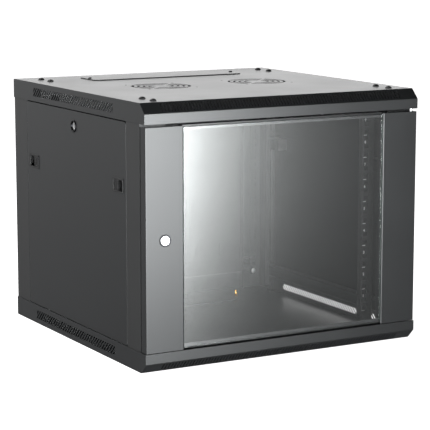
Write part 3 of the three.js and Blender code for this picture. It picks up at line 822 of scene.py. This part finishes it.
    def grilles(self, pan: bpy.types.Object) -> None:
        """Cuts the two fan grilles."""
        for side in (-1, 1):
            GRILLES.run(pan, POWDER_COAT.material(), Middle=(side * self.grille_x, 0, self.z(self.sheet / 2)),
                        Rings=self.grille_rings, Outer_Radius=self.grille_radius, Ring_Step=self.grille_step,
                        Slot_Width=self.grille_slot, Spoke_Width=self.grille_spoke,
                        Screw_Spacing=self.fan_screw_spacing, Screw_Radius=self.fan_screw_radius)

    def build(self) -> None:
        """Makes and dresses the cover."""
        pan = self.pan()
        if self.level is Level.BOTTOM:
            rim_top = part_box("bottom_entry_plate")[0].z - self.hole_play
            rim = prism("rim", self.entry_outline(self.sheet), Axis.Z, (self.sheet / 2, rim_top))
            carve(pan, [rim], join=True)
        carve(pan, self.holes())
        self.bevel_slots(pan)
        for side in (-1, 1):
            self.side_vents(pan, side)
        if self.level is Level.TOP:
            self.grilles(pan)
        dress(pan, POWDER_COAT, "cabinet", self.node)
        self.slot_shade_strip()


def screw_nodes() -> list[str]:
    """Names of the entry plate's screws."""
    return [f"entry_plate_screw_{word}" for _, word in SIDES]


def screw_holes(span: Span) -> list[bpy.types.Object]:
    """Cutters for the entry plate's screws, over a span of heights."""
    return [prism("screw_hole", circle(middle(node)[:2], SCREW_HOLE, 16), Axis.Z, span)
            for node in screw_nodes()]


def cap_nodes() -> list[str]:
    """Names of the domed caps."""
    return [f"bolt_cap_{end}_{word}_{index}" for end in ("front", "rear") for _, word in SIDES
            for index in (1, 2)]


def cap_places() -> list[Vector]:
    """Middle of each cap's underside."""
    places = []
    for node in cap_nodes():
        place = middle(node)
        place.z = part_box("top_cover")[1].z
        places.append(place)
    return places


@dataclass
class CoverTrim:
    """Entry plates with their screws, and the caps over the assembly bolts."""

    plate_corner: float = 0.014
    plate_edge: float = 0.0004
    cap_radius: float = 0.0065
    cap_height: float = 0.0040
    stem_radius: float = 0.0034
    stem: float = 0.0034
    seat: float = 0.0003

    def plates(self) -> None:
        """Both plates, each with softened edges; the upper one has screw holes."""
        for level in ("top", "bottom"):
            node = f"{level}_entry_plate"
            low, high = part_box(node)
            outline = round_box((low.x, high.x), (low.y, high.y), self.plate_corner)
            plate = prism(f"{node}_finished", outline, Axis.Z, (low.z, high.z), self.plate_edge)
            if level == "top":
                carve(plate, screw_holes((low.z - MARGIN, high.z + MARGIN)))
            dress(plate, POWDER_COAT, "cabinet", node)

    def caps(self) -> None:
        """All domed caps, as copies of one turned cap."""
        dome = [(self.cap_radius * math.cos(turn), -self.cap_height * math.sin(turn) - self.seat)
                for turn in (math.pi / 2 * step / 8 for step in range(8))]
        profile = [(0.0, self.stem), (self.stem_radius, self.stem), (self.stem_radius, -self.seat), *dome,
                   (0.0, -self.cap_height - self.seat)]
        cap = turned("cap_pattern", profile, Vector((0, 0, 0)), Vector((0, 0, -1)), 32)
        self.copy("bolt_caps", cap, cap_places(), cap_nodes())

    def screws(self) -> None:
        """The plate's two countersunk screws with a cross recess."""
        nodes = screw_nodes()
        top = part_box(nodes[0])[1].z
        profile = [(0, -0.006), (0.002, -0.006), (0.002, -0.0005), (0.0037, -0.0001), (0.0040, 0.0003),
                   (0.0040, 0.0008), (0.0034, 0.0016), (0.0022, 0.0020), (0.0, 0.0020)]
        screw = turned("screw_pattern", [(r, d - 0.002) for r, d in profile], Vector((0, 0, 0)),
                       Vector((0, 0, 1)), 32)
        arms = ((0.0004, 0.0019), (0.0019, 0.0004))
        carve(screw, [prism("recess", round_box((-a, a), (-b, b), 0.0001), Axis.Z, (-0.0012, MARGIN))
                      for a, b in arms])
        places = [Vector((*middle(node)[:2], top)) for node in nodes]
        self.copy("entry_plate_screws", screw, places, nodes)

    def copy(self, name: str, pattern: bpy.types.Object, places: list[Vector], nodes: list[str]) -> None:
        """Sets copies of a pattern on places, as one piece.

        Args:
            name: Of the piece.
            pattern: The object that is repeated; it is removed.
            places: One for each copy.
            nodes: That the copies stand for.
        """
        mesh = bpy.data.meshes.new(name)
        mesh.from_pydata([tuple(place) for place in places], [], [])
        piece = new_piece(name, mesh)
        COPIES.run(piece, PLASTIC.material(), Pattern=pattern)
        bpy.data.objects.remove(pattern)
        dress(piece, PLASTIC, "cabinet", *nodes)

    def build(self) -> None:
        """Makes and dresses all trim."""
        self.plates()
        self.caps()
        self.screws()


# ---- Locks ----


@dataclass
class Lock:
    """Round cam lock: a blackened barrel and a chromed plug with a key slot."""

    prefix: str
    barrel_body: str
    plug_body: str
    inward: Vector
    mouth_radius: float
    face_drop: float
    barrel_profile: list[tuple[float, float, float]]
    key_turn: float = 0.0
    core_radius: float = 0.0061
    dish: float = 0.0002
    disc: float = 0.0022
    key_half: Point = (0.0008, 0.0040)
    key_depth: float = 0.003

    def mouth(self) -> Vector:
        """Middle of the lock's outermost face."""
        place = middle(f"{self.prefix}_plug")
        low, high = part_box(f"{self.prefix}_plug")
        for axis, way in enumerate(self.inward):
            if way:
                place[axis] = (low if way > 0 else high)[axis] - way * self.face_drop
        return place

    def build(self) -> None:
        """Makes and dresses the barrel and the plug."""
        mouth = self.mouth()
        barrel = turned(f"{self.prefix}_barrel_finished", fillet(self.barrel_profile, 2), mouth,
                        self.inward, 72)
        dress(barrel, LOCK_BODY, self.barrel_body, f"{self.prefix}_barrel")
        plug_low, plug_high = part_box(f"{self.prefix}_plug")
        length = max(abs((plug_high - plug_low).dot(self.inward)), MARGIN) + self.face_drop
        radius, core, face = self.mouth_radius, self.core_radius, self.face_drop
        dish, back = face + self.dish, face + self.disc
        profile = [(0.0, dish), (0.0048, dish), (0.0053, face), (radius - 0.0008, face),
                   (radius - 0.0002, face + 0.0003), (radius, face + 0.0009), (radius, back), (core, back),
                   (core, length), (0.0, length)]
        plug = turned(f"{self.prefix}_plug_finished", profile, mouth, self.inward, 72)
        carve(plug, [self.key_slot(mouth)])
        dress(plug, CHROME, self.plug_body, f"{self.prefix}_plug")

    def key_slot(self, mouth: Vector) -> bpy.types.Object:
        """Cutter for the key slot, turned a little on the door's lock."""
        wide, tall = self.key_half
        outline = round_box((-wide, wide), (-tall, tall), 0.0003)
        turn = Matrix.Rotation(self.key_turn, 2)
        slot = [tuple(turn @ Vector(point)) for point in outline]
        axis = Axis.X if abs(self.inward.x) > 0.5 else Axis.Y
        centre = mouth.yz if axis is Axis.X else mouth.xz
        start = mouth.dot(self.inward)
        depths = (-MARGIN, self.face_drop + self.key_depth)
        span = sorted(self.inward[axis.value] * (start + depth) for depth in depths)
        return prism("key_slot", [(centre[0] + a, centre[1] + b) for a, b in slot], axis, tuple(span))


def door_lock() -> Lock:
    """The lock in the door's left stile."""
    barrel = [(0.0116, 0.0004, 0.0003), (0.0116, 0.0015, 0), (0.0104, 0.0015, 0), (0.0104, 0.025, 0.0003),
              (0.0064, 0.025, 0), (0.0064, 0.004, 0), (0.0095, 0.004, 0), (0.0095, 0.0004, 0.0003)]
    return Lock("door_lock", "door", "door_lock", Vector((0, 1, 0)), 0.0092, 0.0, barrel, math.radians(24))


def side_lock(side: int, word: str) -> Lock:
    """The lock in one side panel."""
    barrel = [(0.0122, 0.0, 0.0008), (0.0122, 0.0014, 0), (0.0104, 0.0014, 0), (0.0104, 0.020, 0.0003),
              (0.0064, 0.020, 0), (0.0064, 0.005, 0), (0.0091, 0.005, 0), (0.0091, 0.0, 0.0006)]
    return Lock(f"{word}_side_lock", f"{word}_panel", f"{word}_panel_lock", Vector((-side, 0, 0)), 0.0088,
                0.0025, barrel)


# ---- Door ----


@dataclass
class Door:
    """Two folded stiles, strips behind the glass, hinges and the lock."""

    sheet: float = 0.0015
    lip: float = 0.012
    bend: float = 0.0009
    lock_hole: float = 0.0108
    glass_edge: float = 0.0006

    def stile(self, side: int, word: str) -> None:
        """One folded upright.

        Args:
            side: -1 for left, 1 for right.
            word: Its word in the node's name.
        """
        node = f"door_{word}_stile"
        low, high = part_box(node)
        outer, inner = (low.x, high.x) if side < 0 else (high.x, low.x)
        path = [(outer - side * self.lip, high.y), (outer, high.y), (outer, low.y), (inner, low.y),
                (inner, high.y), (inner + side * self.lip, high.y)]
        outline = folded(path, -side * self.sheet, self.bend)
        stile = prism(f"{node}_finished", outline, Axis.Z, (low.z, high.z))
        if side < 0:
            place = middle("door_lock_plug")
            span = (low.y - MARGIN, low.y + 4 * self.sheet)
            carve(stile, [prism("lock_hole", circle((place.x, place.z), self.lock_hole, 48), Axis.Y, span)])
        soften(stile, 0.00025)
        dress(stile, POWDER_COAT, "door", node)

    def fittings(self) -> None:
        """Strips, glass, hinges, nut and cam, with their edges softened."""
        parts = [("door_top_rail", POWDER_COAT, 0.0004), ("door_bottom_rail", POWDER_COAT, 0.0004),
                 ("door_glass", GLASS, self.glass_edge), ("upper_hinge_block", BLACK_ZINC, 0.0005),
                 ("lower_hinge_block", BLACK_ZINC, 0.0005), ("upper_hinge_pin", ZINC, 0.0004),
                 ("lower_hinge_pin", ZINC, 0.0004), ("door_lock_nut", ZINC, 0.0003)]
        for node, finish, radius in parts:
            piece = formed(node, finish, "door", radius)
            if finish is GLASS:
                piece.data.materials.append(GROUND_EDGE.material())
                for face in piece.data.polygons:
                    face.material_index = int(abs(face.normal.y) < 0.5)
        formed("door_lock_cam", ZINC, "door_lock", 0.0004)

    def build(self) -> None:
        """Makes and dresses the door."""
        for side, word in SIDES:
            self.stile(side, word)
        self.fittings()
        door_lock().build()


def formed(node: str, finish: Finish, body: str, radius: float) -> bpy.types.Object:
    """A node's solid with softened edges, dressed.

    Args:
        node: That the piece stands for.
        finish: Of the piece.
        body: That it moves with.
        radius: Of its edges.

    Returns:
        The piece.
    """
    piece = solid_copy(node)
    soften(piece, radius)
    return dress(piece, finish, body, node)


# ---- Side panels ----


@dataclass
class SidePanel:
    """Lift-off tray with a lock and two latches."""

    side: int
    word: str
    sheet: float = 0.0015
    edge: float = 0.0022
    lock_hole: float = 0.0108
    latch_margin: Point = (0.0025, 0.0012)
    ribs: int = 5
    rib_pitch: float = 0.0030
    rib_groove: float = 0.0012
    rib_depth: float = 0.0016
    rib_start: float = 0.0028
    rib_corner: float = 0.0004
    rib_ends: float = 0.004
    rib_clip: Point = (0.01, 0.06)

    def tray(self) -> None:
        """The pressed tray with a round rim and its holes."""
        node = f"{self.word}_side_panel"
        low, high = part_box(node)
        outer, inner = (low.x, high.x) if self.side < 0 else (high.x, low.x)
        outline = round_box((low.y, high.y), (low.z, high.z), 2 * self.edge)
        tray = prism(f"{node}_finished", outline, Axis.X, (low.x, high.x), self.edge)
        sheet = self.sheet
        hollow = round_box((low.y + sheet, high.y - sheet), (low.z + sheet, high.z - sheet), self.edge)
        span = sorted((outer - self.side * sheet, inner - self.side * MARGIN * 2))
        cutters = [prism("hollow", hollow, Axis.X, tuple(span))]
        through = tuple(sorted((outer + self.side * MARGIN, outer - self.side * 3 * sheet)))
        lock = middle(f"{self.word}_side_lock_plug")
        cutters.append(prism("lock", circle((lock.y, lock.z), self.lock_hole, 48), Axis.X, through))
        along, tall = self.latch_margin
        for place in ("front", "rear"):
            rim_low, rim_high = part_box(f"{self.word}_{place}_latch_housing")
            hole = round_box((rim_low.y + along, rim_high.y - along), (rim_low.z + tall, rim_high.z - tall),
                             0.001)
            cutters.append(prism("latch", hole, Axis.X, through))
        carve(tray, cutters)
        dress(tray, POWDER_COAT, f"{self.word}_panel", node)

    def latch(self, place: str) -> None:
        """Housing and ribbed finger slide of one latch."""
        formed(f"{self.word}_{place}_latch_housing", PLASTIC, f"{self.word}_panel", 0.0007)
        node = f"{self.word}_{place}_latch_slide"
        slide = solid_copy(node)
        low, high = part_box(node)
        face = low.x if self.side < 0 else high.x
        end = -1 if place == "front" else 1
        back = low.y if end > 0 else high.y
        depth = self.rib_depth
        first = Vector((face - depth / 2, back + end * self.rib_start, middle(node).z))
        tall = high.z - low.z
        SLOTS.run(slide, PLASTIC.material(), Count=self.ribs, Start=first, Step=(0, end * self.rib_pitch, 0),
                  Turn=euler(Vector((0, 0, 1)), Vector((1, 0, 0))), Length=tall - self.rib_ends,
                  Width=self.rib_groove, Corner=self.rib_corner, Depth=depth, Clip_Middle=first,
                  Clip_Size=(*self.rib_clip, tall))
        soften(slide, 0.0003)
        dress(slide, PLASTIC, f"{self.word}_{place}_latch", node)

    def build(self) -> None:
        """Makes and dresses the panel."""
        self.tray()
        for place in ("front", "rear"):
            self.latch(place)
        side_lock(self.side, self.word).build()
        formed(f"{self.word}_side_lock_cam", ZINC, f"{self.word}_panel_lock", 0.0004)


# ---- Frame ----


@dataclass
class Chassis:
    """Columns, rails with printed marks, supports, back panel and small fittings."""

    unit: float = 0.04445
    units: int = 9
    hole_line: float = 0.2325
    hole_in_unit: float = 0.00635
    numeral_height: float = 0.0052
    numeral_in_unit: float = 0.0302
    numeral_weight: float = 0.00022
    numeral_cap: float = 0.7
    dash: Point = (0.007, 0.0013)
    mark_x: float = 0.2300
    mark_lift: float = 0.00006
    rail_sheet: float = 0.002
    keyhole_x: float = 0.2
    keyhole_levels: Point = (0.090, 0.400)
    plug_half: float = 0.0095
    plug_above: float = 0.022
    plug_corner: float = 0.0060
    plug_sheet: Span = (0.0012, 0.0001)
    plug_edge: float = 0.0004

    def __post_init__(self) -> None:
        """Height of the first unit's lower edge."""
        low, high = CAD_BOX[0].z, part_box("top_cover")[1].z
        self.unit_zero = (low + high - self.units * self.unit) / 2

    def sheet_parts(self) -> None:
        """Columns, rails, supports and the back panel, with softened edges."""
        for _, side in SIDES:
            for end in ("front", "rear"):
                formed(f"{end}_{side}_column", FRAME_COAT, "cabinet", 0.0009)
                formed(f"{end}_{side}_mounting_rail", FRAME_COAT, "cabinet", 0.0001)
            for level in ("lower", "upper"):
                formed(f"{level}_{side}_rail_support", FRAME_COAT, "cabinet", 0.0005)
        formed("rear_panel", POWDER_COAT, "cabinet", 0.0004)

    def marks(self, side: int, word: str) -> None:
        """Printed unit marks of one front rail: a dash at each unit's edge and a numeral in it."""
        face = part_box(f"front_{word}_mounting_rail")[0].y
        x = side * self.mark_x
        dashes = new_piece(f"front_{word}_rail_dashes", bpy.data.meshes.new("dashes"))
        BARS.run(dashes, PRINT.material(), Count=self.units + 1, Step=(0, 0, self.unit),
                 Start=(x, face - self.mark_lift, self.unit_zero),
                 Size=(self.dash[0], self.mark_lift, self.dash[1]))
        dress(dashes, PRINT, "cabinet")
        shape = bmesh.new()
        for unit in range(self.units):
            level = self.unit_zero + unit * self.unit + self.numeral_in_unit
            self.add_numeral(shape, str(unit + 1), Vector((x, face - self.mark_lift, level)))
        dress(from_bmesh(f"front_{word}_rail_numerals", shape), PRINT, "cabinet")

    def add_numeral(self, shape: bmesh.types.BMesh, text: str, place: Vector) -> None:
        """Adds one thin standing numeral, centred on a place.

        Args:
            shape: That it is added to.
            text: The numeral.
            place: Of its middle.
        """
        curve = bpy.data.curves.new("numeral", "FONT")
        curve.body = text
        curve.size = self.numeral_height / self.numeral_cap
        curve.extrude = self.mark_lift / 2
        curve.offset = self.numeral_weight
        curve.resolution_u = 3
        curve.align_x = curve.align_y = "CENTER"
        holder = new_piece("numeral", curve)
        graph = bpy.context.evaluated_depsgraph_get()
        mesh = bpy.data.meshes.new_from_object(holder.evaluated_get(graph))
        mesh.transform(Matrix.Translation(place) @ Matrix.Rotation(math.pi / 2, 4, "X"))
        shape.from_mesh(mesh)
        bpy.data.objects.remove(holder)
        bpy.data.meshes.remove(mesh)

    def rail_bolt(self) -> None:
        """White cup washer and bolt at the foot of the rear right rail."""
        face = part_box("rear_right_mounting_rail")[1].y - self.rail_sheet
        place = Vector((self.hole_line, face, self.unit_zero + self.hole_in_unit))
        back = Vector((0, 1, 0))
        cup = [(0.0, -0.0003), (0.0050, -0.0003), (0.0053, -0.0010), (0.0046, -0.0020), (0.0038, -0.0022),
               (0.0034, -0.0012), (0.0, -0.0012)]
        dress(turned("rail_bolt_washer", cup, place, back, 40), NYLON, "cabinet")
        head = [(0.0, -0.0014), (0.0030, -0.0014), (0.0030, -0.0028), (0.0024, -0.0036), (0.0, -0.0039)]
        dress(turned("rail_bolt_head", head, place, back, 40), ZINC, "cabinet")

    def keyhole_plugs(self) -> None:
        """Thin black plugs that close the wall keyholes from inside while they aren't used."""
        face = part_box("rear_panel")[0].y
        half = self.plug_half
        span = tuple(face - depth for depth in self.plug_sheet)
        for height, level in zip(("lower", "upper"), self.keyhole_levels):
            for side, word in SIDES:
                x = side * self.keyhole_x
                outline = round_box((x - half, x + half), (level - half, level + self.plug_above),
                                    self.plug_corner)
                plug = prism(f"{height}_{word}_keyhole_plug", outline, Axis.Y, span, self.plug_edge)
                dress(plug, PLASTIC, "cabinet")

    def earth_stud(self) -> None:
        """Brass stud with a washer and a hexagon nut, standing on the floor plate."""
        low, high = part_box("earth_stud")
        place = Vector((*middle("earth_stud")[:2], low.z))
        tall = high.z - low.z
        washer_radius = (high.x - low.x) / 2
        profile = [(0.0, 0.0), (washer_radius, 0.0), (washer_radius, 0.0010), (0.003, 0.0012)]
        thread = [(0.0030 if step % 2 else 0.0026, 0.0055 + step * 0.0004) for step in range(20)]
        profile += [(0.003, 0.0052), *thread, (0.0022, tall), (0.0, tall)]
        stud = turned("earth_stud_finished", profile, place, Vector((0, 0, 1)), 32)
        nut = circle(place[:2], washer_radius * 0.97, 6)
        carve(stud, [prism("nut", nut, Axis.Z, (place.z + 0.0011, place.z + 0.0050), 0.0003)], join=True)
        dress(stud, BRASS, "cabinet", "earth_stud")

    def build(self) -> None:
        """Makes and dresses the chassis."""
        self.sheet_parts()
        for side, word in SIDES:
            self.marks(side, word)
        self.rail_bolt()
        self.keyhole_plugs()
        self.earth_stud()


# ---- Studio ----


@dataclass
class Studio:
    """Camera, pale floor, soft light and the card that the door's face mirrors."""

    azimuth: float = math.radians(-29.23)
    elevation: float = math.radians(9.38)
    distance: float = 3.653
    across: float = 0.0111
    rise: float = 0.229
    lens: float = 148.1
    view_end: float = 200.0
    floor_half: float = 60.0
    floor_grey: float = 0.86
    floor_glow: float = 1.05
    card_y: float = -1.0
    card_x: Span = (-1.30, 1.40)
    card_z: Span = (-0.50, 0.66)
    card_tint: tuple[float, float, float, float] = (0.97, 0.995, 1.0, 1.0)
    card_base: float = 2.718
    card_slope: float = -7.6
    card_full_x: float = 0.17
    card_most: float = 1.6
    card_rise_z: Span = (-0.22, 0.38)
    card_rise: Span = (0.14, 1.0)
    card_strength: float = 11.6
    card_least: float = 0.42
    sky: tuple[Point, ...] = ((0.0, 0.02), (0.36, 0.12), (0.44, 0.48), (0.505, 1.0), (0.62, 1.0),
                              (0.74, 0.03), (1.0, 0.01))
    sky_strength: float = 1.05
    behind: Point = (0.87, 0.49)

    def camera(self) -> None:
        """The camera, looking slightly down at the left front corner."""
        turn, tilt = self.azimuth, self.elevation
        back = Vector((math.sin(turn) * math.cos(tilt), -math.cos(turn) * math.cos(tilt), math.sin(tilt)))
        right = Vector((math.cos(turn), math.sin(turn), 0))
        up = back.cross(right)
        data = bpy.data.cameras.new("camera")
        data.lens = self.lens
        data.clip_end = self.view_end
        camera = new_piece("camera", data)
        place = back * self.distance + right * self.across + up * self.rise
        camera.matrix_world = Matrix.Translation(place) @ Matrix((right, up, back)).transposed().to_4x4()
        bpy.context.scene.camera = camera

    def plane(self, name: str, corners: list[tuple[float, float, float]], grey: float,
              glow: Callable[[Graph], dict]) -> bpy.types.Object:
        """A flat stage piece with its own material.

        Args:
            name: Of the piece.
            corners: In order round it.
            grey: Of its surface.
            glow: Gives the shader's emission sockets.

        Returns:
            The piece.
        """
        mesh = bpy.data.meshes.new(name)
        mesh.from_pydata(corners, [], [tuple(range(len(corners)))])
        piece = new_piece(name, mesh)
        made = bpy.data.materials.new(name)
        made.use_nodes = True
        graph = Graph(made.node_tree)
        shader = graph.node("ShaderNodeBsdfPrincipled", None,
                            {"Base Color": (grey, grey, grey, 1.0), "Roughness": 0.9,
                             "Specular IOR Level": 0.0, **glow(graph)})
        graph.node("ShaderNodeOutputMaterial", None, {"Surface": shader})
        mesh.materials.append(made)
        return piece

    def floor(self) -> None:
        """Wide pale floor, left out of mirror images so that the card shows in the glass."""
        half = self.floor_half
        corners = [(-half, -half, 0.0), (half, -half, 0.0), (half, half, 0.0), (-half, half, 0.0)]
        white = {"Emission Color": (1.0, 1.0, 1.0, 1.0), "Emission Strength": self.floor_glow}
        floor = self.plane("floor", corners, self.floor_grey, lambda graph: white)
        floor.visible_glossy = False

    def card(self) -> None:
        """Soft card before the door, bright at the hinge-free side and fading to the hinges."""

        def glow(graph: Graph) -> dict:
            """Brightness that falls along X and towards the floor."""
            place = graph.node("ShaderNodeTexCoord").output("Object")
            parts = graph.node("ShaderNodeSeparateXYZ", None, {0: place})
            power = (parts.output("X") - self.card_full_x) * self.card_slope
            fall = graph.maths("MINIMUM", graph.maths("POWER", self.card_base, power), self.card_most)
            rise = graph.smooth(parts.output("Z"), self.card_rise_z, self.card_rise)
            return {"Emission Color": self.card_tint,
                    "Emission Strength": fall * rise * self.card_strength + self.card_least}

        (left, right), (low, high), y = self.card_x, self.card_z, self.card_y
        corners = [(left, y, low), (left, y, high), (right, y, high), (right, y, low)]
        card = self.plane("soft_card", corners, 0.0, glow)
        card.visible_camera = False
        card.visible_shadow = False
        card.visible_diffuse = False

    def world(self) -> None:
        """Pale horizon, dark ceiling and dim ground in mirror images."""
        world = bpy.data.worlds.new("studio")
        world.use_nodes = True
        graph = Graph(world.node_tree)
        way = graph.node("ShaderNodeTexCoord").output("Generated")
        parts = graph.node("ShaderNodeSeparateXYZ", None, {0: way})
        across, depth, height = (parts.output(axis) for axis in "XYZ")
        grey = graph.node("ShaderNodeValToRGB", {"stops": self.sky}, {0: height * 0.5 + 0.5})
        along, aside = depth * self.behind[0], across * self.behind[1]
        bright = graph.smooth(along + aside, (0.60, 0.95)) * graph.smooth(height, (0.0, 0.06))
        dim = graph.smooth(along - aside, (0.35, 0.90))
        front = graph.smooth(depth * -1.0, (0.1, 0.6))
        light = graph.node("ShaderNodeBackground", None, {
            "Color": grey, "Strength": bright * 1.5 + self.sky_strength - dim * 0.15 - front * 0.65})
        graph.node("ShaderNodeOutputWorld", None, {"Surface": light})
        bpy.context.scene.world = world

    def lamp(self, name: str, place: Vector, aim: Vector, size: float, power: float) -> bpy.types.Object:
        """A square soft lamp.

        Args:
            name: Of the lamp.
            place: Of its middle.
            aim: That it faces.
            size: Of its side.
            power: In watts.

        Returns:
            The lamp.
        """
        data = bpy.data.lights.new(name, "AREA")
        data.size = size
        data.energy = power
        lamp = new_piece(name, data)
        turn = (place - aim).to_track_quat("Z", "Y").to_matrix().to_4x4()
        lamp.matrix_world = Matrix.Translation(place) @ turn
        return lamp

    def build(self) -> None:
        """Sets the stage."""
        scene = bpy.context.scene
        scene.view_settings.view_transform = "Standard"
        self.camera()
        self.floor()
        self.card()
        self.world()
        self.lamp("rear_top_light", Vector((-0.6, 1.6, 2.3)), Vector((0, 0.1, 0.4)), 1.6, 40.0)
        inside = self.lamp("cavity_fill", Vector((0.0, -0.05, 0.45)), Vector((0.05, 0.1, 0.0)), 0.25, 0.10)
        inside.visible_camera = inside.visible_glossy = inside.visible_transmission = False


# ---- Whole ----

SLOTS = slot_tree()
GRILLES = grille_tree()
COPIES = copies_tree()
BARS = bars_tree()


def main() -> None:
    """Builds every sub-assembly and the stage."""
    logging.basicConfig(level=logging.INFO, format="%(name)s: %(message)s")
    assemblies = [Studio(), Cover(Level.TOP), Cover(Level.BOTTOM), CoverTrim(), Door()]
    assemblies += [SidePanel(side, word) for side, word in SIDES]
    assemblies.append(Chassis())
    for assembly in assemblies:
        LOG.info("building %s", type(assembly).__name__)
        assembly.build()


if __name__ == "__main__":
    main()
